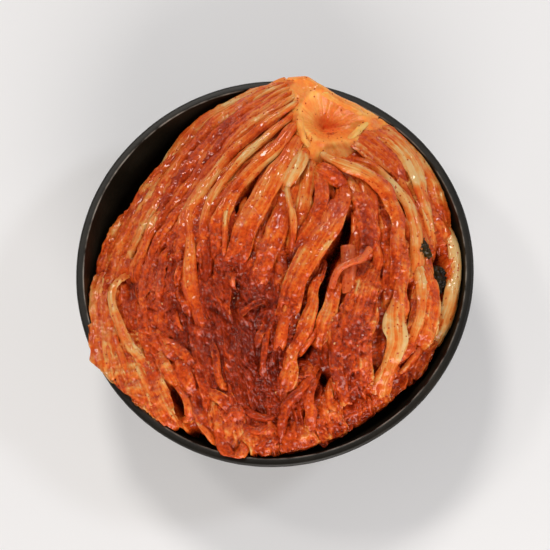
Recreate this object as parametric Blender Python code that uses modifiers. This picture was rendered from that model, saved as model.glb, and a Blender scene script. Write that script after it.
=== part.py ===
"""A head of napa-cabbage kimchi served whole in a black stoneware bowl.

Metres, +Z up. The origin is on the table, under the middle of the bowl. The cabbage's stump
leans on the rim at +Y, and its leaves fan out from there over the bowl towards -Y.
"""
import math

import bmesh
import bpy
from mathutils import Matrix, Vector

MM = 0.001
GAP = 0.3 * MM            # left between pieces that touch
WELD = 0.01 * MM          # points nearer than this become one

# The bowl: a flared stoneware bowl on a turned foot ring
RIM_RADIUS = 110 * MM
BOWL_HEIGHT = 72 * MM
RIM_THICKNESS = 4.6 * MM
FOOT_RADIUS = 50 * MM
FOOT_WIDTH = 7 * MM
FOOT_HEIGHT = 5 * MM
FOOT_EDGE = 1 * MM        # the foot's outer edge is rounded in by this much
FOOT_TAPER = 2 * MM       # its inner side leans in by this much
FOOT_RECESS = 3 * MM      # the underside is this far off the table
FLOOR_HEIGHT = 10 * MM    # inside, at the middle
FLOOR_RADIUS = 42 * MM    # where the floor starts to rise
WALL_SWEEP = math.radians(58)
WALL_STEPS = 8
LIP_STEPS = 5
BOWL_SIDES = 80
CLEAR_OUT = 40 * MM       # the space kept clear of the head goes this far beyond the rim
CLEAR_DOWN = 20 * MM      # and this far below the table

# The head: guides run from the back of the stump to the leaf ends, left edge to right edge.
# Each row is one station along them, and each point is the top of the leaves there, in mm.
GUIDE_ROWS = (
    ((9, 103, 90), (15, 103, 91), (20, 102, 92), (26, 98, 91), (36, 92, 88), (47, 88, 84), (58, 84, 76)),
    ((2, 106, 80), (10, 95, 87), (14, 80, 90), (19, 65, 91), (31, 63, 90), (44, 69, 85), (62, 82, 74)),
    ((-44, 86, 68), (-28, 68, 80), (-16, 53, 88), (7, 36, 91), (39, 30, 90), (62, 37, 84), (85, 58, 70)),
    ((-80, 42, 66), (-62, 21, 78), (-38, 14, 86), (-5, -6, 88), (30, -7, 88), (71, -1, 82), (99, 24, 67)),
    ((-99, 2, 65), (-73, -29, 76), (-38, -36, 81), (-5, -55, 81), (26, -50, 82), (68, -42, 78), (101, -13, 66)),
    ((-99, -51, 76), (-58, -87, 73), (-25, -103, 73), (5, -102, 70), (33, -93, 69), (62, -74, 67), (84, -56, 66)),
)
ACROSS = 54               # faces from edge to edge of the fan
ALONG = 28                # faces from stump to leaf ends
RIBS = 12                 # folded leaves lying side by side
RIB_HEIGHT = 4.5 * MM
RIB_ROUNDNESS = 0.6       # below 1 for wide ribs with narrow folds between them
RIB_SWAY = 0.35           # how far a rib wanders sideways, in ribs
SWAY_ALONG, SWAY_ACROSS = 7, 9   # how fast it wanders, in radians over the fan
LEAFY_AFTER = 0.25        # ribs reach their full height this share of a guide after the stump
LEAF_REACH = 0.985        # share of a guide where a leaf ends, on average
RAGGEDNESS = 0.015
RAGGED_WAVES = (37, 11)   # radians over the fan
UNDERCUT = 0.72           # the flanks tuck in: how wide the head would be down on the table
STUMP_END = 0.2           # the stump takes this share of a guide
PIT_PLACE = (33 * MM, 79 * MM)
PIT_SIZE = (13 * MM, 10 * MM)
PIT_DEPTH = 15 * MM
PIT_LIP = 2.5 * MM
PIT_LIP_PLACE, PIT_LIP_WIDTH = 1.4, 0.3   # in pit sizes from its middle

# Two pieces of radish between the leaves: a stick, and a thinner shred curled over it
STICK_SIZE = (8 * MM, 27 * MM, 5 * MM)
STICK_PLACE = (42 * MM, -6 * MM, 88.5 * MM)
STICK_TURN = math.radians(-2)
STICK_BEVEL = 0.8 * MM
SHRED_RADIUS = 2.1 * MM
SHRED_COURSE = ((54, 5, 91), (49, -1, 92.8), (42, -4, 93.9), (36, -8, 93), (32, -17, 90))   # mm
SHRED_STEPS = 14


def make_collection(name):
    collection = bpy.data.collections.new(name)
    bpy.context.scene.collection.children.link(collection)
    return collection


def make_material(name, colour, roughness):
    material = bpy.data.materials.new(name)
    material.use_nodes = True
    shader = material.node_tree.nodes["Principled BSDF"]
    shader.inputs["Base Color"].default_value = (*colour, 1)
    shader.inputs["Roughness"].default_value = roughness
    shader.inputs["Metallic"].default_value = 0
    return material


def add_object(name, mesh, collection, material=None):
    thing = bpy.data.objects.new(name, mesh)
    collection.objects.link(thing)
    if material:
        mesh.materials.append(material)
    return thing


def make_cutter(thing):
    thing.hide_render = True
    thing.display_type = "WIRE"


def cut(thing, cutter):
    boolean = thing.modifiers.new("clear of " + cutter.name, "BOOLEAN")
    boolean.operation = "DIFFERENCE"
    boolean.object = cutter


def turned(name, profile, collection, material=None):
    """A solid of revolution from (radius, height) points that go up inside and down outside."""
    mesh = bpy.data.meshes.new(name)
    points = [(radius, 0, height) for radius, height in profile]
    mesh.from_pydata(points, [(i, i + 1) for i in range(len(points) - 1)], [])
    thing = add_object(name, mesh, collection, material)
    screw = thing.modifiers.new("turn", "SCREW")
    screw.steps = screw.render_steps = BOWL_SIDES
    screw.use_merge_vertices = True
    screw.merge_threshold = WELD
    screw.use_smooth_shade = True
    return thing


# ---- bowl ----

def wall_curve(foot, floor, rim, top):
    """Points from (foot, floor) out and up to (rim, top), steeper as they rise."""
    points = []
    for i in range(WALL_STEPS + 1):
        angle = WALL_SWEEP * i / WALL_STEPS
        out = math.sin(angle) / math.sin(WALL_SWEEP)
        rise = (1 - math.cos(angle)) / (1 - math.cos(WALL_SWEEP))
        points.append((foot + (rim - foot) * out, floor + (top - floor) * rise))
    return points


def inner_wall(gap=0):
    lip = BOWL_HEIGHT - RIM_THICKNESS / 2
    return wall_curve(FLOOR_RADIUS, FLOOR_HEIGHT + gap, RIM_RADIUS - RIM_THICKNESS - gap, lip)


def lip_arc(gap=0):
    """The rounded rim, from its inner side over the top to its outer side."""
    radius = RIM_THICKNESS / 2
    centre = (RIM_RADIUS - radius, BOWL_HEIGHT - radius)
    arc = []
    for i in range(1, LIP_STEPS + 1):
        angle = math.pi * (1 - i / (LIP_STEPS + 1))
        reach = radius + gap
        arc.append((centre[0] + reach * math.cos(angle), centre[1] + reach * math.sin(angle)))
    return arc


def make_bowl(collection):
    outer = wall_curve(FOOT_RADIUS, FOOT_HEIGHT, RIM_RADIUS, BOWL_HEIGHT - RIM_THICKNESS / 2)
    foot_inside = FOOT_RADIUS - FOOT_WIDTH
    foot = [(FOOT_RADIUS - FOOT_EDGE, 0), (foot_inside, 0),
            (foot_inside - FOOT_TAPER, FOOT_RECESS), (0, FOOT_RECESS)]
    profile = [(0, FLOOR_HEIGHT)] + inner_wall() + lip_arc() + outer[::-1] + foot
    clay = make_material("black stoneware", (0.022, 0.019, 0.017), 0.45)
    return turned("bowl", profile, collection, clay)


def make_bowl_clearance(collection):
    """Everything that the bowl and the space outside it take up, with the gap."""
    beyond = RIM_RADIUS + CLEAR_OUT
    top = BOWL_HEIGHT + GAP
    profile = [(0, FLOOR_HEIGHT + GAP)] + inner_wall(GAP) + lip_arc(GAP)[:LIP_STEPS // 2 + 1]
    profile += [(beyond, top), (beyond, -CLEAR_DOWN), (0, -CLEAR_DOWN)]
    clearance = turned("bowl clearance", profile, collection)
    make_cutter(clearance)
    return clearance


# ---- cabbage head ----

def through(points, place):
    """The smooth (Catmull-Rom) curve through evenly spaced points, at place from 0 to 1."""
    padded = [2 * points[0] - points[1], *points, 2 * points[-1] - points[-2]]
    along = place * (len(points) - 1)
    i = min(int(along), len(points) - 2)
    a, b, c, d = padded[i:i + 4]
    f = along - i
    return 0.5 * (2 * b + (c - a) * f + (2 * a - 5 * b + 4 * c - d) * f ** 2
                  + (3 * b - a - 3 * c + d) * f ** 3)


def fan(across, along):
    """The top of the leaves: across goes from the left edge (0) to the right (1)."""
    stations = [through([Vector(point) * MM for point in row], across) for row in GUIDE_ROWS]
    return through(stations, along)


def rib_relief(across, along):
    """How far the ribs and the folds between them stand off the smooth fan."""
    sway = RIB_SWAY * math.sin(SWAY_ALONG * along + SWAY_ACROSS * across)
    wave = abs(math.sin(math.pi * (RIBS * across + sway)))
    leafy = min(1, max(0, (along - STUMP_END) / LEAFY_AFTER))
    return RIB_HEIGHT * leafy * (wave ** RIB_ROUNDNESS - RIB_ROUNDNESS)


def pit_relief(point):
    """The cored-out hollow in the stump, and the lip round it."""
    u = (point.x - PIT_PLACE[0]) / PIT_SIZE[0]
    v = (point.y - PIT_PLACE[1]) / PIT_SIZE[1]
    out = math.hypot(u, v)
    hollow = PIT_DEPTH * math.exp(-out ** 3)
    lip = PIT_LIP * math.exp(-((out - PIT_LIP_PLACE) / PIT_LIP_WIDTH) ** 2)
    return lip - hollow


def ragged_end(across, along):
    """Leaf ends are uneven: each one stops a little short of the guide's end."""
    wave = math.sin(RAGGED_WAVES[0] * across) * math.cos(RAGGED_WAVES[1] * across)
    return along * (LEAF_REACH + RAGGEDNESS * wave * along ** 4)


def make_head(collection, clearance):
    bm = bmesh.new()
    bmesh.ops.create_grid(bm, x_segments=ACROSS, y_segments=ALONG, size=0.5)
    for vert in bm.verts:
        across, along = vert.co.x + 0.5, vert.co.y + 0.5
        point = fan(across, ragged_end(across, along))
        point.z += rib_relief(across, along) + pit_relief(point)
        vert.co = point
    skin = bmesh.ops.extrude_face_region(bm, geom=bm.faces[:])
    for vert in (item for item in skin["geom"] if isinstance(item, bmesh.types.BMVert)):
        vert.co = (vert.co.x * UNDERCUT, vert.co.y * UNDERCUT, 0)
    bmesh.ops.recalc_face_normals(bm, faces=bm.faces[:])
    mesh = bpy.data.meshes.new("cabbage_head")
    bm.to_mesh(mesh)
    bm.free()
    leaf = make_material("red-sauced cabbage", (0.60, 0.17, 0.05), 0.35)
    head = add_object("cabbage_head", mesh, collection, leaf)
    cut(head, clearance)
    return head


# ---- radish sticks ----

def box_stick(name, size, collection, material=None):
    bm = bmesh.new()
    bmesh.ops.create_cube(bm, size=1, matrix=Matrix.Diagonal((*size, 1)))
    mesh = bpy.data.meshes.new(name)
    bm.to_mesh(mesh)
    bm.free()
    stick = add_object(name, mesh, collection, material)
    stick.location = STICK_PLACE
    stick.rotation_euler = (0, 0, STICK_TURN)
    return stick


def curled_shred(name, radius, collection, material=None):
    """A square-cut shred that bends round, swept along its course."""
    curve = bpy.data.curves.new(name, "CURVE")
    curve.dimensions = "3D"
    curve.bevel_depth = radius
    curve.bevel_resolution = 0
    curve.use_fill_caps = True
    spline = curve.splines.new("POLY")
    spline.points.add(SHRED_STEPS)
    course = [Vector(point) * MM for point in SHRED_COURSE]
    for i, point in enumerate(spline.points):
        point.co = (*through(course, i / SHRED_STEPS), 1)
    swept = bpy.data.objects.new(name, curve)
    collection.objects.link(swept)
    evaluated = swept.evaluated_get(bpy.context.evaluated_depsgraph_get())
    mesh = bpy.data.meshes.new_from_object(evaluated)
    bpy.data.objects.remove(swept)
    bm = bmesh.new()
    bm.from_mesh(mesh)
    bmesh.ops.remove_doubles(bm, verts=bm.verts[:], dist=WELD)
    bmesh.ops.recalc_face_normals(bm, faces=bm.faces[:])
    bm.to_mesh(mesh)
    bm.free()
    mesh.materials.clear()
    return add_object(name, mesh, collection, material)


def make_sticks(head, collection, cutters):
    """Both sticks, each in a pocket that clears it."""
    radish = make_material("sauced radish", (0.62, 0.13, 0.04), 0.3)
    block = box_stick("radish_stick", STICK_SIZE, collection, radish)
    edge = block.modifiers.new("soft edge", "BEVEL")
    edge.width = STICK_BEVEL
    edge.segments = 2
    curled_shred("radish_shred", SHRED_RADIUS, collection, radish)

    grown = [side + 2 * GAP for side in STICK_SIZE]
    pockets = [box_stick("stick pocket", grown, cutters),
               curled_shred("shred pocket", SHRED_RADIUS + 2 * GAP, cutters)]
    for pocket in pockets:
        make_cutter(pocket)
        cut(head, pocket)


def main():
    for thing in list(bpy.data.objects):
        bpy.data.objects.remove(thing)
    kimchi = make_collection("kimchi in a bowl")
    cutters = make_collection("cutters")
    make_bowl(kimchi)
    head = make_head(kimchi, make_bowl_clearance(cutters))
    make_sticks(head, kimchi, cutters)


main()
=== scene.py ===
# %% [markdown]
# # A head of kimchi in a stoneware bowl
# A whole napa cabbage, split and salted, packed with chilli paste and left to ferment. It is
# served with its stump on the rim and its leaves fanned out over the bowl. The notebook lays a
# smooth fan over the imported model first, then lays every leaf on that fan, and finishes each
# surface from what the real one is made of.

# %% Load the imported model
import math

import bpy
import numpy as np
from mathutils import Matrix, Vector
from mathutils.bvhtree import BVHTree


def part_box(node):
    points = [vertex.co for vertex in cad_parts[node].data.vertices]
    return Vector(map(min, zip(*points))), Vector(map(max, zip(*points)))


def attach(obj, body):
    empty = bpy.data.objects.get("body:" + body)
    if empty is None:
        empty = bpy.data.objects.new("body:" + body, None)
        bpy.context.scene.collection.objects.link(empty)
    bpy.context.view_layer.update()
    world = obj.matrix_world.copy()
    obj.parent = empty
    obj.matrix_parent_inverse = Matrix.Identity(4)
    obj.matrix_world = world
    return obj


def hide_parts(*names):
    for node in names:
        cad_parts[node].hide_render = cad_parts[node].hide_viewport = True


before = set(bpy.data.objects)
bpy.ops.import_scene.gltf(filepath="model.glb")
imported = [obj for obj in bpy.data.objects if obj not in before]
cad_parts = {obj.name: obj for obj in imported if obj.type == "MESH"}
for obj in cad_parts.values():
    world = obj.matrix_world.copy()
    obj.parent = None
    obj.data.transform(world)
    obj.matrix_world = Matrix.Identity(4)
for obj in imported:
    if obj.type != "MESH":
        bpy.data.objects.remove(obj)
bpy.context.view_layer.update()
MM = 0.001
rng = np.random.default_rng(20)

# %% [markdown]
# ## The fan under the leaves
# All leaves of the head start at the stump and spread out like a fan. So one smooth surface,
# with "across" from the left edge to the right and "along" from the stump to the leaf ends, is
# the easiest place to lay leaves on: a leaf's course is then just a few places on it. The
# guides are the ones that the cabbage solid was built from, in millimetres.

# %% Guides from the stump to the leaf ends
GUIDE_ROWS = MM * np.array((
    ((9, 103, 90), (15, 103, 91), (20, 102, 92), (26, 98, 91), (36, 92, 88), (47, 88, 84), (58, 84, 76)),
    ((2, 106, 80), (10, 95, 87), (14, 80, 90), (19, 65, 91), (31, 63, 90), (44, 69, 85), (62, 82, 74)),
    ((-44, 86, 68), (-28, 68, 80), (-16, 53, 88), (7, 36, 91), (39, 30, 90), (62, 37, 84), (85, 58, 70)),
    ((-80, 42, 66), (-62, 21, 78), (-38, 14, 86), (-5, -6, 88), (30, -7, 88), (71, -1, 82), (99, 24, 67)),
    ((-99, 2, 65), (-73, -29, 76), (-38, -36, 81), (-5, -55, 81), (26, -50, 82), (68, -42, 78),
     (101, -13, 66)),
    ((-99, -51, 76), (-58, -87, 73), (-25, -103, 73), (5, -102, 70), (33, -93, 69), (62, -74, 67),
     (84, -56, 66)),
), float)


def catmull_rom(a, b, c, d, f):
    """The smooth curve from b to c, f of the way along."""
    return 0.5 * (2 * b + (c - a) * f + (2 * a - 5 * b + 4 * c - d) * f ** 2
                  + (3 * b - a - 3 * c + d) * f ** 3)


def through(points, place):
    """The smooth curve through evenly spaced points, at each place from 0 to 1."""
    points = np.asarray(points, float)
    if points.ndim == 1:
        points = points[:, None]
    first, last = 2 * points[:1] - points[1:2], 2 * points[-1:] - points[-2:-1]
    padded = np.concatenate([first, points, last])
    reach = np.asarray(place, float) * (len(points) - 1)
    i = np.clip(reach.astype(int), 0, len(points) - 2)
    return catmull_rom(*(padded[i + k] for k in range(4)), (reach - i)[:, None])


def fan(across, along):
    """The top of the leaves at each pair of places, in metres."""
    stations = np.stack([through(row, across) for row in GUIDE_ROWS])
    first, last = 2 * stations[:1] - stations[1:2], 2 * stations[-1:] - stations[-2:-1]
    padded = np.concatenate([first, stations, last])
    reach = along * (len(GUIDE_ROWS) - 1)
    i = np.clip(reach.astype(int), 0, len(GUIDE_ROWS) - 2)
    each = np.arange(len(i))
    return catmull_rom(*(padded[i + k, each] for k in range(4)), (reach - i)[:, None])


def unit(vectors):
    return vectors / np.maximum(np.linalg.norm(vectors, axis=-1, keepdims=True), 1e-12)


def fan_normal(across, along, step=0.02):
    """Which way the leaves face, smoothed over a step of the fan."""
    rightward = fan(across + step, along) - fan(across - step, along)
    outward = fan(across, along + step) - fan(across, along - step)
    return unit(np.cross(outward, rightward))


middle_up = fan_normal(np.array([0.5]), np.array([0.5]))[0]
print("the middle of the fan faces", middle_up.round(2))

# %% [markdown]
# ## Where the paste lies
# Chilli paste is thickest low in the middle, where it has run together, and thin on the ribs
# near the stump. A few rows of values over the same fan say how much lies where, and every
# leaf starts from them.

# %% Paste over the fan
PASTE_ROWS = (            # left edge to right edge, one row each fifth of the way along
    (0.10, 0.12, 0.12, 0.10, 0.18, 0.24, 0.18),
    (0.12, 0.20, 0.15, 0.16, 0.30, 0.34, 0.20),
    (0.20, 0.48, 0.25, 0.38, 0.42, 0.36, 0.20),
    (0.28, 0.46, 0.62, 0.72, 0.50, 0.48, 0.25),
    (0.30, 0.58, 0.82, 0.88, 0.72, 0.46, 0.20),
    (0.14, 0.24, 0.58, 0.7, 0.66, 0.6, 0.4),
)


def paste_at(across, along):
    rows = np.stack([through(row, across)[:, 0] for row in PASTE_ROWS])
    place = np.clip(along, 0, 0.9999) * (len(rows) - 1)
    i = place.astype(int)
    each = np.arange(len(i))
    return rows[i, each] * (1 - place + i) + rows[i + 1, each] * (place - i)


print("paste in the middle:", paste_at(np.array([0.4]), np.array([0.8])).round(2)[0])

# %% [markdown]
# ## Unevenness
# Nothing on a pickled leaf is smooth or repeats. A lattice of random numbers, blended from
# corner to corner, gives soft bumps. Its absolute value has creases where it crosses zero, and
# those creases are what a wilted leaf shows.

# %% Soft bumps and creases
LATTICE_SIDE = 48
LATTICE = rng.uniform(-1, 1, (LATTICE_SIDE,) * 3)


def bumps(points):
    """Smooth unevenness from -1 to 1, with about one bump in each unit."""
    cell = np.floor(points).astype(int)
    f = points - cell
    f = f * f * f * (f * (f * 6 - 15) + 10)
    total = np.zeros(points.shape[:-1])
    for corner in np.ndindex(2, 2, 2):
        share = np.prod(np.where(corner, f, 1 - f), axis=-1)
        i, j, k = np.moveaxis((cell + corner) % LATTICE_SIDE, -1, 0)
        total += share * LATTICE[i, j, k]
    return total


def creases(points, octaves=3):
    """Rounded swellings with sharp folds between them, about 0 to 1."""
    total, size, weight = 0, 1.0, 1.0
    for octave in range(octaves):
        total = total + weight * np.abs(bumps(points * size + 17.3 * octave))
        size, weight = size * 2.1, weight * 0.48
    return total / 0.9


def stack(*columns):
    """Columns as one array of points, each stretched to the longest."""
    return np.stack(np.broadcast_arrays(*columns), axis=-1).astype(float)


def ridges(points, octaves=2):
    """Thin standing folds with wide hollows between them, about 0 to 1."""
    total, size, weight = 0, 1.0, 1.0
    for octave in range(octaves):
        fold = np.clip(1 - 2.4 * np.abs(bumps(points * size + 29.1 * octave)), 0, 1)
        total, size, weight = total + weight * fold ** 1.5, size * 2.1, weight * 0.5
    return total / 1.2


def shingles(u, v, pitch, seed, mirrored):
    """Layers that overlap across u: 0 at each free edge to 1 where it is tucked in, and their numbers."""
    wander = bumps(stack(u / (2.6 * pitch), v / (7 * pitch), seed))
    place = u / pitch + 0.9 * wander
    layer = np.floor(place)
    tucked = place - layer
    return np.where(mirrored, 1 - tucked, tucked), layer


sample = creases(rng.uniform(0, 40, (4000, 3)))
print("creases run from", sample.min().round(2), "to", sample.max().round(2))

# %% [markdown]
# ## One mesh from many strips
# Every leaf is a closed strip: rings of points joined by quads. Adding a Blender object per
# leaf would be slow and untidy, so the strips of one part of the head are gathered as arrays
# and joined into one mesh. Three values travel with each point: how much chilli paste lies on
# it, with painted shade and painted light from its folds mixed in, how open it is to the light,
# which darkens its colour as painted shade, and where it is along and across the leaf, for the
# fibres.

# %% Gather strips into a mesh
def sheet_faces(rows, columns, closed=False):
    """Quads between neighbouring rows of points, each row closed into a ring if asked."""
    row = np.arange(rows - 1)[:, None] * columns
    column = np.arange(columns if closed else columns - 1)[None, :]
    beside = (column + 1) % columns
    quads = [row + column, row + columns + column, row + columns + beside, row + beside]
    return np.stack([q.ravel() for q in quads], axis=1)


def make_mesh(name, points, faces, values=None, smooth=True):
    mesh = bpy.data.meshes.new(name)
    mesh.from_pydata(points.tolist(), [], faces)
    for key, value in (values or {}).items():
        kind, field = ("FLOAT_VECTOR", "vector") if value.ndim == 2 else ("FLOAT", "value")
        layer = mesh.attributes.new(key, kind, "POINT")
        layer.data.foreach_set(field, value.astype(np.float32).ravel())
    mesh.polygons.foreach_set("use_smooth", np.full(len(mesh.polygons), smooth))
    mesh.update()
    thing = bpy.data.objects.new(name, mesh)
    bpy.context.scene.collection.objects.link(thing)
    return thing


class Bunch:
    """Strips that will be one piece."""

    def __init__(self, name, flare=0.0):
        self.name, self.flare, self.points, self.faces, self.count = name, flare, [], [], 0
        self.values = {"paste": [], "open": [], "fibre": []}

    def add(self, points, quads, caps, paste, openness, fibre):
        self.points.append(points)
        self.faces += (quads + self.count).tolist()
        self.faces += [[i + self.count for i in cap] for cap in caps]
        self.count += len(points)
        for key, value in zip(self.values, (paste, openness, fibre)):
            self.values[key].append(value)

    def build(self, material):
        values = {key: np.concatenate(value) for key, value in self.values.items()}
        thing = make_mesh(self.name, np.concatenate(self.points), self.faces, values)
        thing.data.materials.append(material)
        print(self.name, "has", len(self.points), "strips and", 2 * len(thing.data.polygons), "triangles")
        return thing


# %% [markdown]
# ## Colours and nodes
# Colours are written as the sRGB hex values that one reads off a colour card. Shaders work in
# linear light, so one function turns them. Another adds a node, sets it up and joins it.

# %% Colour and node helpers
def linear(code):
    """An sRGB hex colour as linear RGBA."""
    channels = [int(code[i:i + 2], 16) / 255 for i in (1, 3, 5)]
    return (*(c / 12.92 if c <= 0.04045 else ((c + 0.055) / 1.055) ** 2.4 for c in channels), 1)


def node(tree, kind, inputs=None, **settings):
    """Adds a node; inputs are values or other nodes' outputs, by socket name or number."""
    made = tree.nodes.new("ShaderNode" + kind)
    for key, value in settings.items():
        setattr(made, key, value)
    for key, value in (inputs or {}).items():
        if isinstance(value, bpy.types.NodeSocket):
            tree.links.new(value, made.inputs[key])
        else:
            made.inputs[key].default_value = value
    return made


def ramp(tree, factor, stops):
    """A colour ramp with (place, colour) stops."""
    made = node(tree, "ValToRGB", {"Fac": factor})
    elements = made.color_ramp.elements
    while len(elements) < len(stops):
        elements.new(0.5)
    for element, (place, code) in zip(elements, stops):
        element.position = place
        element.color = linear(code)
    return made.outputs["Color"]


def new_material(name, **fixed):
    """A material with its Principled shader, and the values that are the same all over."""
    material = bpy.data.materials.new(name)
    material.use_nodes = True
    shader = material.node_tree.nodes["Principled BSDF"]
    for key, value in fixed.items():
        shader.inputs[key.replace("_", " ")].default_value = value
    return material, material.node_tree, shader


print("chilli red in linear light is", [round(c, 3) for c in linear("#a8331a")[:3]])

# %% [markdown]
# ## The bowl
# The bowl is dark stoneware, thrown on a wheel and glazed satin black. A wheel makes rings of
# one profile, so the profile is drawn once and turned. The potter's fingers leave faint rings
# up the wall. A pale line is painted along the inner edge of the rim: partly worn glaze, partly
# a painted highlight where that edge catches the light. The imported bowl is too coarse to show
# that, so a finer one stands for it.

# %% Draw the profile of the bowl
rim_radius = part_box("bowl")[1].x
bowl_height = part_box("bowl")[1].z
RIM_THICKNESS = 4.6 * MM
WALL_SWEEP = math.radians(58)
BOWL_SIDES = 220
WALL_ROOM = 0.9 * MM
FINGER_RINGS = 5.2 * MM   # from ring to ring up the wall
FINGER_DEPTH = 0.12 * MM
WORN_WIDTH = 0.4 * MM     # of the line along the lip


def wall_curve(foot, floor, rim, top, steps=34):
    """Points from (foot, floor) out and up to (rim, top), steeper as they rise."""
    angle = np.linspace(0, WALL_SWEEP, steps)
    out = np.sin(angle) / math.sin(WALL_SWEEP)
    rise = (1 - np.cos(angle)) / (1 - math.cos(WALL_SWEEP))
    points = np.stack([foot + (rim - foot) * out, floor + (top - floor) * rise], axis=1)
    points[:, 0] += FINGER_DEPTH * np.sin(points[:, 1] / FINGER_RINGS * math.tau) * np.sin(math.pi * out)
    return points


def arc(centre, radius, start, end, steps):
    angle = np.radians(np.linspace(start, end, steps))
    return np.stack([centre[0] + radius * np.cos(angle), centre[1] + radius * np.sin(angle)], axis=1)


lip_radius = RIM_THICKNESS / 2
lip_height = bowl_height - lip_radius
inner_wall = wall_curve(42 * MM, 10 * MM, rim_radius - RIM_THICKNESS, lip_height)
outer_wall = wall_curve(50 * MM, 5 * MM, rim_radius, lip_height)
inner_lip = arc((rim_radius - RIM_THICKNESS + 1.1 * MM, bowl_height - 1.1 * MM), 1.1 * MM, 180, 90, 7)
outer_lip = arc((rim_radius - 1.7 * MM, bowl_height - 1.7 * MM), 1.7 * MM, 90, 0, 9)
foot_ring = np.concatenate([
    arc((49 * MM, 1 * MM), 1 * MM, 0, -90, 5), arc((44 * MM, 1 * MM), 1 * MM, -90, -180, 5),
    [(42.5 * MM, 2.6 * MM), (40 * MM, 3 * MM)]])
profile = np.concatenate([
    [(0.01 * MM, 10 * MM), (20 * MM, 10 * MM)], inner_wall[:-1], inner_lip, outer_lip,
    outer_wall[-2::-1], foot_ring, [(20 * MM, 3 * MM), (0.01 * MM, 3 * MM)]])
print("the profile has", len(profile), "points")

# %% Turn the profile, a little unevenly
wheel = np.linspace(0, math.tau, BOWL_SIDES, endpoint=False)[:, None]
radius, height = profile[None, :, 0] + 0 * wheel, profile[None, :, 1] + 0 * wheel
wobble = bumps(stack(2.2 * np.cos(wheel), 2.2 * np.sin(wheel), 5.5))
near_rim = np.clip((height - 50 * MM) / (bowl_height - 50 * MM), 0, 1) ** 2
edge_noise = bumps(stack(60 * np.cos(wheel), 60 * np.sin(wheel), height / (2 * MM)))
radius = radius - 0.35 * MM * near_rim * (0.5 + 0.5 * wobble) + 0.05 * MM * near_rim * edge_noise
height = height - 0.25 * MM * near_rim * (0.5 + 0.5 * wobble)
bowl_points = stack(radius * np.cos(wheel), radius * np.sin(wheel), height).reshape(-1, 3)
bowl_faces = sheet_faces(BOWL_SIDES, len(profile))
seam = (BOWL_SIDES - 1) * len(profile) + np.arange(len(profile) - 1)
seam_faces = np.stack([seam, seam % len(profile), seam % len(profile) + 1, seam + 1], axis=1)
rings = np.arange(BOWL_SIDES) * len(profile)
caps = [rings.tolist()[::-1], (rings + len(profile) - 1).tolist()]
# The pale line along the inner lip: partly worn glaze, partly a painted highlight where the lip's edge
# catches the light.
from_lip = ((profile - inner_lip[3]) ** 2).sum(axis=1)
worn = np.exp(-from_lip / WORN_WIDTH ** 2)
worn = np.where(np.arange(len(profile)) < 2 + len(inner_wall) + len(inner_lip), worn, 0)
bowl = make_mesh("bowl_turned", bowl_points, bowl_faces.tolist() + seam_faces.tolist() + caps,
                 {"worn": np.tile(worn, BOWL_SIDES)})
print("the bowl is", round(2 * rim_radius / MM), "mm across")

# %% [markdown]
# ## Satin black glaze
# The clay is a dark iron stoneware, dipped in a black glaze and fired until it is satin, not
# glossy. Fired glaze is a glass, so its IOR is near 1.5. Fine iron specks and a light orange-peel
# texture break up its reflections, and a pale line along the inner edge of the rim is partly
# worn glaze and partly a painted highlight.

# %% Glaze the bowl
GLAZE_SPECK = 0.8         # mm
PEEL_SIZE = 1.6           # mm, orange-peel texture
satin_glaze, tree, shader = new_material("satin black glazed stoneware", IOR=1.5, Specular_IOR_Level=0.3)
place = node(tree, "TexCoord").outputs["Object"]
cloud = node(tree, "TexNoise", {"Vector": place, "Scale": 1000 / 24, "Detail": 4}).outputs["Fac"]
speck = node(tree, "TexNoise", {"Vector": place, "Scale": 1000 / GLAZE_SPECK, "Detail": 1}).outputs["Fac"]
peel = node(tree, "TexNoise", {"Vector": place, "Scale": 1000 / PEEL_SIZE, "Detail": 2}).outputs["Fac"]
tone = node(tree, "Math", {0: speck, 1: 0.5, 2: cloud}, operation="MULTIPLY_ADD").outputs[0]
glaze = ramp(tree, tone, ((0.35, "#0d0a05"), (0.75, "#130f07"), (1.0, "#201a11")))
# Pale lip line, partly worn glaze and partly painted highlight, mixed into the glaze colour.
wear = node(tree, "Attribute", attribute_name="worn").outputs["Fac"]
patchy = node(tree, "TexNoise", {"Vector": place, "Scale": 1000 / 10, "Detail": 3}).outputs["Fac"]
patchy = node(tree, "MapRange", {"Value": patchy, "From Min": 0.4, "From Max": 0.65}).outputs[0]
bare = node(tree, "Math", {0: wear, 1: patchy}, operation="MULTIPLY").outputs[0]
skin = node(tree, "Mix", {"Factor": bare, 6: glaze, 7: linear("#9c968b")}, data_type="RGBA")
tree.links.new(skin.outputs[2], shader.inputs["Base Color"])
sheen = node(tree, "MapRange", {"Value": cloud, "To Min": 0.36, "To Max": 0.5}).outputs[0]
tree.links.new(sheen, shader.inputs["Roughness"])
bump = node(tree, "Bump", {"Height": peel, "Strength": 0.35, "Distance": 0.15 * MM})
tree.links.new(bump.outputs[0], shader.inputs["Normal"])
bowl.data.materials.append(satin_glaze)
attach(bowl, "root")
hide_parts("bowl")


def keep_in_bowl(points):
    """Points moved in where they would be in the bowl's wall, with a little room."""
    out = np.linalg.norm(points[:, :2], axis=1)
    limit = np.interp(points[:, 2], inner_wall[:, 1], inner_wall[:, 0]) - WALL_ROOM
    limit = np.where(points[:, 2] > bowl_height + 0.5 * MM, out, limit)
    shrink = np.minimum(limit / np.maximum(out, 1e-9), 1)
    return np.column_stack([points[:, :2] * shrink[:, None], points[:, 2]])


print("glazed", bowl.name)
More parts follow.
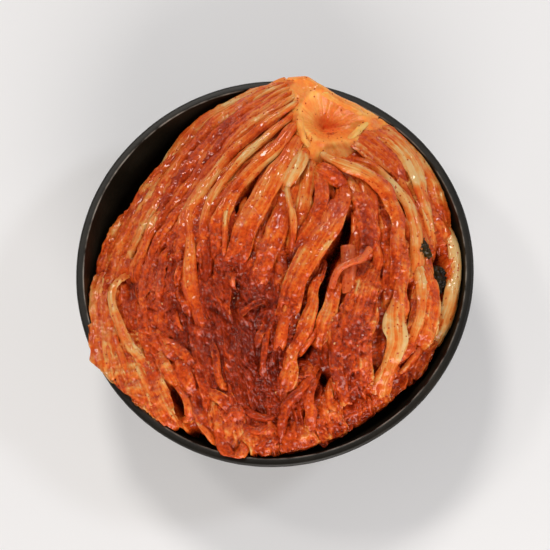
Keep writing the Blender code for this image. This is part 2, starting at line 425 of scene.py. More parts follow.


# %% [markdown]
# ## Pickled cabbage
# Salted napa cabbage is limp, wet and slightly see-through. Its ribs stay pale and take on the
# orange of the brine, and its leaf blades hold the red paste in every fold. So one recipe gives
# all cabbage its colour from how much paste lies there, and each kind of leaf has its own tones.
# The same recipe darkens the colour where a point is less open to the light, as painted shade.
# Light goes a few millimetres into the flesh, and the film of brine on top is what glints.

# %% The recipe for pickled cabbage
FIBRE_WIDTH = 1.0         # mm, the strings in a rib
FIBRE_LENGTH = 24         # mm
BLOTCH_SIZE = 7           # mm, patches where paste has rubbed on or washed off
GRAIN_SIZE = 1.6          # mm, ground chilli; real grains are half that, too fine to show
CLEAN_SHIFT = 0.12        # how much paler washed flesh is than the paste on it says
FLECK_SPACING = 2.4       # mm between single flecks of chilli
FILM_SIZE = 3.8           # mm, humps in the film of brine
BRINE_IOR = 1.4           # brine with chilli oil on it


def pickled(name, tones, wet=0.9, flesh=0.12, flecks=0.4):
    """Cabbage whose tones run from clean flesh to thick paste."""
    material, tree, shader = new_material(
        name, IOR=1.36, Specular_IOR_Level=0.05, Subsurface_Weight=flesh, Subsurface_Scale=2.2 * MM,
        Coat_Weight=wet, Coat_Roughness=0.1, Coat_IOR=BRINE_IOR)
    shader.inputs["Subsurface Radius"].default_value = (1.0, 0.3, 0.1)
    paste = node(tree, "Attribute", attribute_name="paste").outputs["Fac"]
    openness = node(tree, "Attribute", attribute_name="open").outputs["Fac"]
    fibre = node(tree, "Attribute", attribute_name="fibre").outputs["Vector"]
    place = node(tree, "TexCoord").outputs["Object"]

    stretch = (1 / FIBRE_WIDTH, 1 / FIBRE_LENGTH, 1)
    strings = node(tree, "VectorMath", {0: fibre, 1: stretch}, operation="MULTIPLY").outputs[0]
    string = node(tree, "TexNoise", {"Vector": strings, "Scale": 1, "Detail": 3}).outputs[0]
    blotch = node(tree, "TexNoise", {"Vector": place, "Scale": 1000 / BLOTCH_SIZE, "Detail": 5}).outputs[0]
    grain = node(tree, "TexNoise", {"Vector": place, "Scale": 1000 / GRAIN_SIZE, "Detail": 2}).outputs[0]

    level = node(tree, "Math", {0: blotch, 1: 0.5, 2: -0.25}, operation="MULTIPLY_ADD").outputs[0]
    thin = node(tree, "MapRange", {"Value": paste, "From Min": 0.62, "From Max": 0.15}).outputs[0]
    strand = node(tree, "Math", {0: string, 1: thin}, operation="MULTIPLY").outputs[0]
    level = node(tree, "Math", {0: strand, 1: 0.45, 2: level}, operation="MULTIPLY_ADD").outputs[0]
    clump = node(tree, "Math", {0: grain, 1: 1.0, 2: 0.5}, operation="MULTIPLY_ADD").outputs[0]
    clump = node(tree, "Math", {0: clump, 1: paste}, operation="MULTIPLY").outputs[0]
    level = node(tree, "Math", {0: level, 1: CLEAN_SHIFT}, operation="SUBTRACT").outputs[0]
    level = node(tree, "Math", {0: level, 1: clump}, operation="ADD", use_clamp=True).outputs[0]
    colour = ramp(tree, level, tones)

    dots = node(tree, "TexVoronoi", {"Vector": place, "Scale": 1000 / FLECK_SPACING})
    near = {"Value": dots.outputs["Distance"], "From Min": 0.26, "From Max": 0.16}
    small = node(tree, "MapRange", near)
    few = node(tree, "SeparateColor", {"Color": dots.outputs["Color"]}).outputs["Red"]
    kept = node(tree, "Math", {0: few, 1: flecks}, operation="LESS_THAN").outputs[0]
    dot = node(tree, "Math", {0: small.outputs[0], 1: kept}, operation="MULTIPLY").outputs[0]
    speckled = node(tree, "Mix", {"Factor": dot, 6: colour, 7: linear("#b4330d")}, data_type="RGBA")

    # Painted shade: the colour is darkened where a point is less open to the light.
    light_in = {"Value": openness, "From Max": 0.7, "To Min": 0.3, "To Max": 1.0}
    shade = node(tree, "MapRange", light_in).outputs[0]
    shaded = node(tree, "VectorMath", {0: speckled.outputs[2], "Scale": shade}, operation="SCALE")
    tree.links.new(shaded.outputs[0], shader.inputs["Base Color"])

    dull = {"Value": blotch, "From Min": 0.3, "From Max": 0.7, "To Min": 0.35, "To Max": 0.55}
    rough = node(tree, "MapRange", dull)
    tree.links.new(rough.outputs[0], shader.inputs["Roughness"])
    relief = node(tree, "Math", {0: strand, 1: 0.6, 2: clump}, operation="MULTIPLY_ADD").outputs[0]
    bump = node(tree, "Bump", {"Height": relief, "Strength": 0.9, "Distance": 0.6 * MM})
    tree.links.new(bump.outputs[0], shader.inputs["Normal"])
    film = node(tree, "TexNoise", {"Vector": place, "Scale": 1000 / FILM_SIZE, "Detail": 1}).outputs[0]
    film = node(tree, "Math", {0: clump, 1: 0.15, 2: film}, operation="MULTIPLY_ADD").outputs[0]
    humps = node(tree, "Bump", {"Height": film, "Strength": 1.0, "Distance": 0.6 * MM})
    tree.links.new(humps.outputs[0], shader.inputs["Coat Normal"])
    return material


# %% The kinds of cabbage in this head
LEAF_TONES = ((0.0, "#dfb578"), (0.1, "#e09c55"), (0.2, "#e0813a"), (0.29, "#dd6823"), (0.38, "#cf4d15"),
              (0.55, "#a4310a"), (0.73, "#902806"), (0.93, "#741a04"))
leaf_flesh = pickled("napa cabbage in chilli paste", LEAF_TONES)
heart_flesh = pickled("inner leaves under the paste", LEAF_TONES, flecks=0.6)
print("kinds of cabbage:", leaf_flesh.name, "and", heart_flesh.name)

# %% [markdown]
# ## A leaf on the fan
# A pickled leaf is a limp strip: thick and rounded where it is rib, thin and crumpled where it
# is blade, with its edges ruffled and its end ragged. Each is a closed strip round a middle
# surface, with the thickness going to nothing at both edges so that they come out round. The
# leaves lie like shingles: rolling one lifts its free edge over its neighbour. Its edges wander,
# its end widens into blade and sinks under its neighbours, and thin layers show on its face.
# A leaf that would hang out over the head is pulled in to the outline of the fan.

# %% Measures of a leaf
ROW_STEP = 0.8 * MM       # between rings
COLUMN_STEP = 0.5 * MM    # between points across a leaf
END_LENGTH = 5 * MM       # over which a leaf's end rounds off
CUT_LENGTH = 0.8 * MM     # and a cut end
SINK_LENGTH = 17 * MM     # over which its end slides under its neighbours
SINK = 4.5 * MM           # and how far down it goes
PLEAT_PITCH = 3.6         # mm, the layers and veins that show on one leaf
LEAN = 1.1                # radians, how far its folds may lean from its length
GRAIN_HEIGHT = 0.8        # mm, ground chilli standing up out of the paste
TIP_FLARE = 0.8           # how much wider a rib gets where it ends in blade
EDGE_WANDER = 0.24        # how far either edge wanders, as a share of the width
EDGE_WAVE = 11 * MM       # from one such bend to the next
EDGE_ROOM = 0.6 * MM      # a leaf may hang out over the head's outline by this much
SIDE_ROOM = 0.02          # and by this share more along the sides
BLEND = 0.4               # how far a leaf takes on the paste around it, low on the fan
FOLD_SIZE, FOLD_HEIGHT = (5.5, 10), 2.0          # mm, across and along the leaf, and up
RIDGE_SIZE, RIDGE_HEIGHT = (3.4, 8), 2.4
WRINKLE_SIZE, WRINKLE_HEIGHT = (2.4, 2.6), 1.5
BACK_TURN = math.radians(66)   # the stump's back, where there are no leaf ends
BACK_LIMIT = 104.5 * MM    # nothing hangs out behind the stump
NOTCH_PLACE, NOTCH_WIDTH, NOTCH_DEPTH = 0.255, 0.028, 0.05   # where the outline steps in
leaves_laid = 0
print("a leaf has a ring every", ROW_STEP / MM, "mm")

# %% Keep leaves inside the outline of the head
edge_across = np.linspace(0, 1, 240)
edge_along = np.linspace(0.12, 1, 160)
stepped_in = NOTCH_DEPTH * np.exp(-((edge_across - NOTCH_PLACE) / NOTCH_WIDTH) ** 2)
side_out = 1 + SIDE_ROOM * np.clip((1 - edge_along) / 0.15, 0, 1)[:, None]
outline = np.concatenate([fan(0 * edge_along, edge_along) * side_out, fan(edge_across, 1 - stepped_in),
                          (fan(0 * edge_along + 1, edge_along) * side_out)[::-1]])
outline_turn = (np.arctan2(outline[:, 1], outline[:, 0]) - BACK_TURN) % math.tau
outline_reach = np.linalg.norm(outline[:, :2], axis=1) + EDGE_ROOM
in_order = np.argsort(outline_turn)
outline_turn, outline_reach = outline_turn[in_order], outline_reach[in_order]


def keep_on_head(points):
    """Points pulled in where they would hang out over the outline of the head."""
    out = np.linalg.norm(points[:, :2], axis=1)
    turn = (np.arctan2(points[:, 1], points[:, 0]) - BACK_TURN) % math.tau
    limit = np.interp(turn, outline_turn, outline_reach)
    limit = limit + 0.8 * MM * bumps(np.column_stack([turn * 26, points[:, 2] / (5 * MM), 0 * out]))
    limit = np.where((turn < outline_turn[0]) | (turn > outline_turn[-1]), out, limit)
    shrink = np.minimum((limit + 0.12 * (out - limit)) / out, 1)
    inside = points[:, :2] * shrink[:, None]
    return np.column_stack([inside[:, 0], np.minimum(inside[:, 1], BACK_LIMIT), points[:, 2]])


print("the outline reaches out", (outline_reach.max() / MM).round(1), "mm")


# %% [markdown]
# ## The strip itself
# Points go round the middle line of the leaf in rings, more of them on the face than on the
# underside, which is hardly seen. Folds and standing ridges lift the face, each leaf at its own
# place in the noise so that no two are alike. The paste is drawn thinner on what stands up and
# thicker in the hollows, partly real paste and partly painted light on the ridges and painted
# shade in the hollows.

# %% Make one closed strip
def near_ends(run, reach):
    """0 at both ends of a leaf to 1 further than reach from them."""
    return np.clip(np.minimum(run, run[-1] - run) / min(reach, run[-1] / 2.2), 0, 1)


def strip(bunch, line, up, width, thick, paste, crumple=0.0, frill=0.0, crown=0.12, square=2.0, roll=0.0,
          coarse=1.0, cut=False):
    """A closed strip along a line of points; width and thick are in metres along it."""
    global leaves_laid
    leaves_laid += 1
    rows, seed = len(line), 7.7 * leaves_laid
    run = np.concatenate([[0], np.cumsum(np.linalg.norm(np.diff(line, axis=0), axis=1))])
    ahead = unit(np.gradient(line, axis=0))
    up = unit(up - np.sum(up * ahead, axis=1, keepdims=True) * ahead)
    right = np.cross(up, ahead)
    turn = np.radians(roll) * np.ones(rows)
    cos, sin = np.cos(turn)[:, None], np.sin(turn)[:, None]
    up, right = up * cos - right * sin, right * cos + up * sin

    ends = np.sqrt(np.maximum(1 - (1 - near_ends(run, CUT_LENGTH if cut else END_LENGTH)) ** 2, 0.0025))
    width, thick = width * ends, thick * ends
    upper = int(np.clip(width.max() / (COLUMN_STEP * coarse), 9, 60))
    lower = max(4, upper // 3)
    around = np.concatenate([np.linspace(-1, 1, upper), np.linspace(1, -1, lower + 2)[1:-1]])
    side = np.concatenate([np.ones(upper), -np.ones(lower)])
    s = np.sin(around * math.pi / 2)[None, :]
    u = s * width[:, None] / 2
    v = run[:, None] + 0 * u
    wander = bumps(stack(1.3 * s, v / EDGE_WAVE, seed + 13.0))
    u = u * (1 + EDGE_WANDER * wander * (not cut))
    strength = (crumple * np.ones(rows))[:, None] * ends[:, None]
    frills = (frill * np.ones(rows))[:, None]

    def noise_at(across, along, shape=bumps, shift=0.0, lean=0.0):
        x = u * math.cos(lean) + v * math.sin(lean)
        y = v * math.cos(lean) - u * math.sin(lean)
        return shape(stack(x / across / MM, y / along / MM, seed + shift))

    u = u + 1.6 * MM * noise_at(30, 9, bumps, 71.0) * strength
    tucked, layer = shingles(u / MM + 60, v / MM, PLEAT_PITCH, seed, np.mean(roll) > 0)
    fold = noise_at(*FOLD_SIZE, creases)
    ridge = noise_at(*RIDGE_SIZE, ridges, 31.0)
    leaning = noise_at(4.2, 9, ridges, 63.0, LEAN * math.sin(5.1 * seed))
    ridge = ridge + (leaning - ridge) * np.clip(strength - 0.15, 0, 0.75)
    wrinkle = noise_at(*WRINKLE_SIZE, ridges, 47.0)
    grains = noise_at(2.0, 2.0, bumps, 97.0)
    middle = (crown * width)[:, None] / 2 * (1 - s ** 2)
    middle = middle + MM * (0.3 + 0.45 * strength) * (0.5 - tucked) * ends[:, None]
    middle = middle + MM * strength * (FOLD_HEIGHT * (fold - 0.5) + RIDGE_HEIGHT * (ridge - 0.3)
                                       + WRINKLE_HEIGHT * (wrinkle - 0.3))
    middle = middle - SINK * ((1 - near_ends(run, SINK_LENGTH)) ** 2)[:, None] * (not cut)
    middle = middle + 2.0 * MM * frills * np.abs(s) ** 3 * noise_at(20, 5.5, bumps, 57.0)
    u = u * (1 + 0.15 * frills * np.abs(s) ** 2 * noise_at(30, 4, bumps, 83.0))
    layer_tone = bumps(stack(layer * 5.3, v / (30 * MM), seed))
    # Painted shade and light mixed into the paste: more paste where a layer tucks under the next and less
    # on ridges and folds that stand up, partly real paste and partly painted shade in the hollows and
    # painted light on the tops; smooth leaves get darker edges as painted shade, crumpled ones paler edges
    # as painted light.
    coated = (paste * np.ones(rows))[:, None] + 0.16 * (tucked - 0.4) + 0.08 * layer_tone
    coated = coated - strength * (0.4 * (ridge - 0.3) + 0.25 * (fold - 0.5))
    coated = coated + np.abs(s) ** 4 * (0.12 - 0.3 * strength)
    coated = coated + 0.17 * noise_at(7, 14, bumps, 5.0) + 0.04 * math.sin(12.9 * seed)
    middle = middle + GRAIN_HEIGHT * MM * grains * np.clip((coated - 0.4) / 0.2, 0, 1)
    # Painted shade: the colour is darkened in the creases of folds, where a layer tucks under, and all
    # over the underside.
    openness = np.clip(1.0 - 0.5 * strength * np.clip(1 - 2.2 * fold, 0, 1) - 0.25 * tucked ** 4, 0, 1)
    openness = np.where(side > 0, openness, 0.3)
    fibre = stack(u / MM, v / MM, seed)

    half = thick[:, None] / 2 * (1 - np.abs(s) ** (2 * square)) ** 0.5 * (0.45 + 0.55 * (1 - s ** 2))
    height = middle + side * half
    back = 2.0 * MM * frills * (noise_at(3.0, 400, bumps, 11.0) + 0.5) * (v / run[-1]) ** 4
    points = line[:, None] + right[:, None] * u[..., None] + up[:, None] * height[..., None]
    points = points - ahead[:, None] * back[..., None]
    points = keep_in_bowl(keep_on_head(points.reshape(-1, 3)))

    columns = upper + lower
    quads = sheet_faces(rows, columns, closed=True)
    last = (rows - 1) * columns
    caps = [range(columns - 1, -1, -1), range(last, last + columns)]
    bunch.add(points, quads, caps, coated.ravel(), openness.ravel(), fibre.reshape(-1, 3))


print("folds rise about", FOLD_HEIGHT, "mm and ridges", RIDGE_HEIGHT, "mm on a crumpled leaf")


# %% [markdown]
# ## Laying leaves
# A few places say where a leaf goes, and everything else about it is a value or a short list
# that is read off evenly along it. That keeps a leaf to two or three lines, so a whole side of
# the head fits in one table and stays easy to change.

# %% Lay a leaf, or a table of them
def lay_leaf(bunch, course, width, lift=0.0, roll=0.0, paste=0.3, crumple=0.3, frill=0.0, crown=0.14,
             thick=2.0, coarse=1.0, own=0.0):
    """course holds places on the fan in per cent. The other lists go evenly along it: width, lift
    and thick in mm, roll in degrees. own is how far a leaf keeps its own paste, low on the fan."""
    drawn = np.linspace(0, 1, 90)
    places = through(course, drawn) / 100
    line = fan(places[:, 0], places[:, 1])
    run = np.concatenate([[0], np.cumsum(np.linalg.norm(np.diff(line, axis=0), axis=1))])
    rows = int(np.clip(run[-1] / (ROW_STEP * coarse), 12, 230))
    at = np.interp(np.linspace(0, run[-1], rows), run, drawn)
    places = through(course, at) / 100
    places[:, 0] += 0.004 * bumps(stack(at * run[-1] / (14 * MM), leaves_laid, 3.3))
    line = fan(places[:, 0], places[:, 1])
    up = fan_normal(places[:, 0], places[:, 1])

    def along_it(value):
        return through(value, at)[:, 0] if isinstance(value, (tuple, list)) else value * np.ones(rows)

    low = np.clip((places[:, 1] - 0.5) / 0.15, 0, 1)
    narrow = np.clip(9 / np.maximum(along_it(width), 1), 0, 1)
    line = line + up * (MM * (along_it(lift) - 1.5 * low * narrow))[:, None]
    around = paste_at(np.clip(places[:, 0], 0, 1), places[:, 1])
    coated = along_it(paste) + BLEND * (1 - own) * low * (around - along_it(paste))
    tip = low * np.clip((at - 0.65) / 0.35, 0, 1) ** 1.5
    coated = coated + 0.15 * tip * (1 - own)
    wide = MM * along_it(width) * (1 + bunch.flare * tip)
    strip(bunch, line, up, wide, MM * along_it(thick), coated, along_it(crumple) + 0.4 * tip,
          along_it(frill), along_it(crown) + 0.1 * low * narrow, roll=along_it(roll), coarse=coarse)


def lay_leaves(bunch, leaves):
    """Each leaf is what lay_leaf takes, in its order, with what goes by name at the end."""
    for leaf in leaves:
        named = leaf[-1] if isinstance(leaf[-1], dict) else {}
        lay_leaf(bunch, *(part for part in leaf if part is not named), **named)


print("a leaf takes on", BLEND, "of the paste around it, low on the fan")

# %% [markdown]
# ## The heart of the head
# Between and under the leaves that show, more leaves are packed tight and soaked in paste. They
# can only be glimpsed, so one creased surface a few millimetres under the fan stands for them.
# It comes up to the top in the middle, where the paste fills the folds, and it dips into deep
# slits where leaves have pulled apart. Big layers, small leaflets, folds and standing ridges are
# added up for its height. The paste is drawn thinner on what stands up and thicker in what dips
# and in the slits, partly real paste and partly painted light on the tops and painted shade in
# the hollows.

# %% Measures of the heart and its slits
HEART_ACROSS = 250
HEART_ALONG = 250
HEART_DEPTH = 2.0         # mm under the fan
UNDER_STUMP = 4.5         # mm more, where the stump lies over it
SHEET_PITCH, LEAFLET_PITCH = 9.0, 3.3   # mm, big layers and the leaflets between them
FAN_WIDTH, FAN_LENGTH = 190, 230   # mm, across and along it where it is widest and longest
SKIRT_ROWS = 26
DARK_DEPTH = 9            # mm, slits this deep let no light in
SLITS = (                 # places in per cent, then how wide and deep, in mm
    (((28, 38), (29, 44), (29.5, 51), (32.5, 59), (33, 62)), 2.0, 7),
    (((39, 28), (36, 33), (34.5, 38), (34, 43), (35, 49)), 2.2, 8),
    (((42, 39), (40.5, 45), (39.5, 51), (39.5, 55)), 2.4, 9),
    (((49, 40), (49, 46)), 2.0, 6),
    (((21, 42), (19, 47), (17.5, 52), (15, 57), (14, 62), (13.5, 68)), 3.0, 7),
    (((57, 28), (56, 32), (54, 37)), 3.5, 7),
    (((69.5, 44), (69, 50), (67, 57), (66, 64), (65, 70), (64, 75), (61, 79)), 3.4, 15),
    (((84, 33), (85, 40), (84.8, 47), (84.5, 54)), 1.8, 6),
    (((90, 43), (91, 50), (90.5, 57)), 2.0, 6),
    (((94.5, 64), (94.2, 70), (94.4, 76), (95.2, 82), (96.5, 88)), 3.6, 14),
    (((84.5, 66), (85, 76)), 2.0, 6),
    (((43, 66), (43, 72), (41, 79)), 3.0, 2.5),
    (((12, 73), (13, 77)), 4.0, 3.5),
    (((21, 92), (22.5, 95.5)), 3.4, 12),
    (((66.5, 86), (67.5, 90)), 2.2, 8),
    (((24, 99), (29, 100)), 4.0, 12),
    (((21.5, 64), (22, 68)), 2.0, 6),
    (((86, 86), (87, 90)), 3.0, 6),
)
print(len(SLITS), "slits, the deepest", max(depth for _, _, depth in SLITS), "mm")


# %% Crease the heart
def near_course(points, course, reach):
    """1 on a course over the fan, falling to 0 at reach from it."""
    places = through(course, np.linspace(0, 1, 40)) / 100
    line = fan(places[:, 0], places[:, 1])
    gap = np.sqrt(((points[:, None, :2] - line[None, :, :2]) ** 2).sum(-1).min(1))
    return np.exp(-(gap / reach) ** 2 * 1.2)


def heart_at(across, along):
    """Points on the heart, with the paste, the openness and the place among the fibres of each."""
    ragged = 1 - 0.02 * (bumps(stack(across * 38, 4.4, 1.5)) + 1) * along ** 6
    reach = 1 + 0.03 * np.exp(-((across - 0.74) / 0.2) ** 4)
    base = fan(across, along * ragged * (1 + (reach - 1) * along ** 4))
    up = fan_normal(across, np.minimum(along, 0.98))
    u, v = across * FAN_WIDTH, along * FAN_LENGTH
    mirrored = across > 0.52
    leafy = np.clip((along - 0.2) / 0.3, 0.2, 1)
    tucked, layer = shingles(u, v, SHEET_PITCH, 3.0, mirrored)
    raised = 0.5 + 0.7 * bumps(stack(layer * 5.7, v / 36, 8.0))
    low = np.clip((along - 0.42) / 0.2, 0, 1)
    swirl = (1.8 + 0.8 * low) * bumps(stack(u / 14, v / 14, 1.0))
    fine, _ = shingles(u + swirl, v, LEAFLET_PITCH, 21.0, mirrored)
    fold = creases(stack((u + swirl) / 6.5, v / 15, 14.0), 2)
    rumple = ridges(stack((u + swirl) / 4.4, (v - swirl) / 7.0, 44.0), 2)
    leaning = ridges(stack((0.8 * u + 0.6 * v + swirl) / 6.5, (0.8 * v - 0.6 * u) / 12, 91.0), 1)
    rumple = rumple * (1 - 0.6 * low) + 0.3 * low * leaning
    lumps = creases(stack(u / 3.6, v / 4.4, 61.0), 2)
    saucy = np.exp(-((across - 0.38) / 0.17) ** 2 - ((along - 0.8) / 0.17) ** 2)
    lift = -HEART_DEPTH + 1.6 * saucy + (0.6 + 1.8 * raised) * (0.8 - tucked ** 1.5)
    lift = lift + leafy * 0.8 * (0.5 - fine)
    lift = lift + low * 1.8 * (lumps - 0.5)
    lift = lift + leafy * (1.8 * (fold - 0.5) + 2.4 * (rumple - 0.3))
    lift = lift - UNDER_STUMP * np.clip((0.27 - along) / 0.06, 0, 1)
    deep = np.zeros(len(base))
    for course, wide, depth in SLITS:
        closeness = near_course(base, course, wide * MM)
        lift = lift - depth * closeness
        deep = np.maximum(deep, closeness * min(depth / DARK_DEPTH, 1))
    # The paste is drawn thicker in the slits and where layers tuck under, and thinner on ridges, folds,
    # lumps and grains that stand up: partly real paste, partly painted shade in the hollows and painted
    # light on the tops.
    paste = paste_at(across, along) + 0.02 + 0.3 * deep
    paste = paste + (0.2 * (tucked - 0.4) + 0.12 * (fine - 0.5)) * (1 - 0.6 * low)
    paste = paste + 0.1 * bumps(stack(layer * 3.1, v / 34, 50.0))
    paste = paste - leafy * (0.3 * (rumple - 0.3) + 0.15 * (fold - 0.5)) - low * 0.1 * (lumps - 0.5)
    # Painted shade: the colour is darkened in the creases of folds, where layers tuck under, and most in
    # the deep slits.
    shut = 0.3 * tucked ** 3 + 0.45 * leafy * np.clip(1 - 2.4 * fold, 0, 1) + 0.9 * deep
    openness = np.clip(1 - shut, 0.03, 1)
    grains = 1.2 * bumps(stack(u / 2.1, v / 2.1, 5.0)) + 0.5 * bumps(stack(u / 1.2, v / 1.2, 9.0))
    grains = np.clip(grains, -0.6, 1)
    thick = np.clip((paste - 0.4) / 0.25, 0, 1)
    lift = lift + GRAIN_HEIGHT * grains * thick
    paste = paste - 0.1 * grains * thick
    raised = base + up * (lift * MM)[:, None]
    raised[:, 1] = np.minimum(raised[:, 1], BACK_LIMIT)
    return keep_in_bowl(raised), paste, openness, stack(u, v, 0.0)


across, along = np.meshgrid(np.linspace(0.0, 1.0, HEART_ACROSS), np.linspace(0.13, 1.0, HEART_ALONG))
top, top_paste, top_open, top_fibre = heart_at(across.ravel(), along.ravel())
lowest, highest = (top[:, 2].min() / MM).round(), (top[:, 2].max() / MM).round()
print("the heart's top runs from", lowest, "to", highest, "mm")

# %% [markdown]
# ## The pool of paste
# Low in the middle the paste has run together over the leaves, and its ground chilli is finer
# than the heart's mesh can show. Making the whole heart that fine would waste triangles where
# leaves hide it. So the same surface is worked out again, closer, only where the paste is thick,
# and laid a hair above the heart with its border turned down into it.

# %% Lay the finer layer
PASTE_COLUMNS, PASTE_LINES = 270, 300
PASTE_ACROSS, PASTE_ALONG = (0.12, 0.62), (0.48, 0.965)
PASTE_LIFT = 0.25 * MM
BORDER_WIDTH, BORDER_DROP = 0.02, 1.6 * MM

columns, lines = np.linspace(*PASTE_ACROSS, PASTE_COLUMNS), np.linspace(*PASTE_ALONG, PASTE_LINES)
sheet_across, sheet_along = np.meshgrid(columns, lines)
sheet_across, sheet_along = sheet_across.ravel(), sheet_along.ravel()
layer_points, layer_paste, layer_open, layer_fibre = heart_at(sheet_across, sheet_along)
inward = np.minimum(sheet_across - PASTE_ACROSS[0], PASTE_ACROSS[1] - sheet_across)
inward = np.minimum(inward, np.minimum(sheet_along - PASTE_ALONG[0], PASTE_ALONG[1] - sheet_along))
border = np.clip(inward / BORDER_WIDTH, 0, 1)
layer_points[:, 2] += PASTE_LIFT - BORDER_DROP * (1 - border)
paste_layer = Bunch("paste_layer")
layer_quads = sheet_faces(PASTE_LINES, PASTE_COLUMNS)
paste_layer.add(layer_points, layer_quads, [], layer_paste, layer_open, layer_fibre)
paste_layer = paste_layer.build(heart_flesh)
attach(paste_layer, "root")
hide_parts("cabbage_head")

# %% [markdown]
# ## Down into the bowl
# Under its top edge the heart narrows a little and goes down to the floor of the bowl, following
# the wall, so that no gap looks through to nothing. Only glimpses of it show beside the head.

# %% Carry the heart down into the bowl
EDGE_RADIUS = 104.3 * MM  # the head narrows to this just under its top edge
UNDERCUT = 0.28           # and by this share on its way down


def skirt(edge):
    """Rows under an edge of points, inside the bowl, from just under it down to the floor."""
    out = np.linalg.norm(edge[:, :2], axis=1)
    way = edge[:, :2] / out[:, None]
    first = np.maximum(edge[:, 2] - 1.5 * MM, bowl_height + 0.8 * MM)
    first = np.where(out > EDGE_RADIUS, first, edge[:, 2] - 1.5 * MM)
    rows = [np.column_stack([way * np.minimum(out, EDGE_RADIUS)[:, None], first])]
    for share in np.linspace(0.03, 1, SKIRT_ROWS - 1) ** 1.3:
        z = first + (11.5 * MM - first) * share
        reach = np.minimum(out, EDGE_RADIUS) * (1 - UNDERCUT * share)
        reach = reach - 1.2 * MM * creases(np.column_stack([way * 11, z / (14 * MM)]), 2)
        rows.append(keep_in_bowl(np.column_stack([way * reach[:, None], z])))
    return rows


grid = np.arange(HEART_ACROSS * HEART_ALONG).reshape(HEART_ALONG, HEART_ACROSS)
rim_loop = np.concatenate([grid[0, :-1], grid[:-1, -1], grid[-1, :0:-1], grid[:0:-1, 0]])
skirt_rows = skirt(top[rim_loop])
heart_points = np.concatenate([top] + skirt_rows)
heart_quads = sheet_faces(HEART_ALONG, HEART_ACROSS)
loops = [rim_loop] + [len(top) + k * len(rim_loop) + np.arange(len(rim_loop)) for k in range(SKIRT_ROWS)]
skirt_quads = [np.stack([a, np.roll(a, -1), np.roll(b, -1), b], axis=1) for a, b in zip(loops, loops[1:])]
below = SKIRT_ROWS * len(rim_loop)
heart_paste = np.concatenate([top_paste, np.full(below, 0.6)])
# The skirt is drawn half open, which darkens it as painted shade.
heart_open = np.concatenate([top_open, np.full(below, 0.5)])
heart_fibre = np.concatenate([top_fibre, np.tile((0.0, 0.0, 50.0), (below, 1))])
heart = Bunch("heart_leaves")
heart_quads = np.concatenate([heart_quads] + skirt_quads)
heart.add(heart_points, heart_quads, [loops[-1].tolist()], heart_paste, heart_open, heart_fibre)
heart = heart.build(heart_flesh)
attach(heart, "root")
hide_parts("cabbage_head")

# %% [markdown]
# ## The stump
# The leaves all grow from the stump, and the cook has cut a funnel out of it so that the paste
# gets in. Its cut flesh is dense and smooth, pale yellow where it is thick, and orange where
# brine has soaked into the funnel. It is a patch of the fan with the funnel pressed into it,
# and its back turns down to the rim that it leans on.

# %% Press the funnel into the stump
STUMP_ACROSS, STUMP_ALONG, STUMP_BACK = 150, 90, 26
FUNNEL = np.array((28.5, 78.0)) * MM
FUNNEL_REACH = (25, 15, 16, 14, 11.5, 10, 11.5, 15.5, 25)   # mm, each eighth of a turn from +X
FUNNEL_DEPTH = 14 * MM
BACKWARD = np.array((0.36, 0.93, 0.0))
BACK_ROUND = 5 * MM

across, along = np.meshgrid(np.linspace(-0.01, 1.01, STUMP_ACROSS), np.linspace(0.0, 0.26, STUMP_ALONG))
across, along = across.ravel(), along.ravel()
flesh = fan(across, along)
away = flesh[:, :2] - FUNNEL
heading = (np.arctan2(away[:, 1], away[:, 0]) % math.tau) / math.tau
out = np.linalg.norm(away, axis=1) / (through(FUNNEL_REACH, heading)[:, 0] * MM)
inside = np.clip(1 - out, 0, 1)
flesh[:, 2] -= FUNNEL_DEPTH * inside ** 1.35
flesh[:, 2] += 1.4 * MM * np.exp(-((out - 1.08) / 0.16) ** 2)
strings = creases(stack(heading * 60, out * 0.8, 2.0), 2)
knobs = bumps(np.column_stack([away / (4.5 * MM), 9.0 + 0 * out])) * np.exp(-((out - 1.2) / 0.22) ** 2)
flesh[:, 2] += 1.1 * MM * knobs
unevenness = bumps(np.column_stack([away / (9 * MM), 4.0 + 0 * out]))
flesh[:, 2] += 0.5 * MM * (strings - 0.5) + 0.7 * MM * unevenness
flesh[:, 2] -= 5 * MM * np.clip((along - 0.19) / 0.07, 0, 1) ** 2
back_rows = []
for k in range(1, STUMP_BACK + 1):
    bend = math.radians(min(95, 95 * k / 12))
    drop = BACK_ROUND * (1 - math.cos(bend)) + max(0, k - 12) * 0.8 * MM
    row = flesh[:STUMP_ACROSS] + BACKWARD * BACK_ROUND * 0.6 * math.sin(bend)
    row[:, 2] = np.maximum(row[:, 2] - drop, bowl_height + 0.6 * MM)
    back_rows.append(row)
stump_points = np.concatenate(back_rows[::-1] + [flesh])
ridge = np.exp(-((out - 1.05) / 0.2) ** 2) * np.clip(0.6 - away[:, 0] / (20 * MM), 0, 1)
soaked = 0.2 - 0.2 * ridge + 0.4 * inside ** 0.6 * np.clip(0.5 + away[:, 0] / (14 * MM), 0.0, 1.0)
soaked = soaked + 0.3 * np.clip(knobs, 0, 1)
soaked = soaked + 0.2 * np.exp(-(out / 0.25) ** 2)
extra = STUMP_BACK * STUMP_ACROSS
stump = Bunch("stump")
# The bottom of the funnel is drawn less open, which darkens it as painted shade.
stump.add(stump_points, sheet_faces(STUMP_ALONG + STUMP_BACK, STUMP_ACROSS)[:, ::-1], [],
          np.concatenate([np.full(extra, 0.15), soaked]),
          np.concatenate([np.full(extra, 0.9), 1 - 0.35 * np.exp(-(out / 0.25) ** 2)]),
          np.concatenate([np.zeros((extra, 3)), stack(heading * 50, out * 12, 0.0)]))
STUMP_TONES = ((0.0, "#fbbf68"), (0.3, "#f89544"), (0.6, "#ea642e"), (1.0, "#b03816"))
stump_flesh = pickled("cut cabbage stump", STUMP_TONES, wet=0.6, flesh=0.4, flecks=0.3)
stump = stump.build(stump_flesh)
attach(stump, "root")

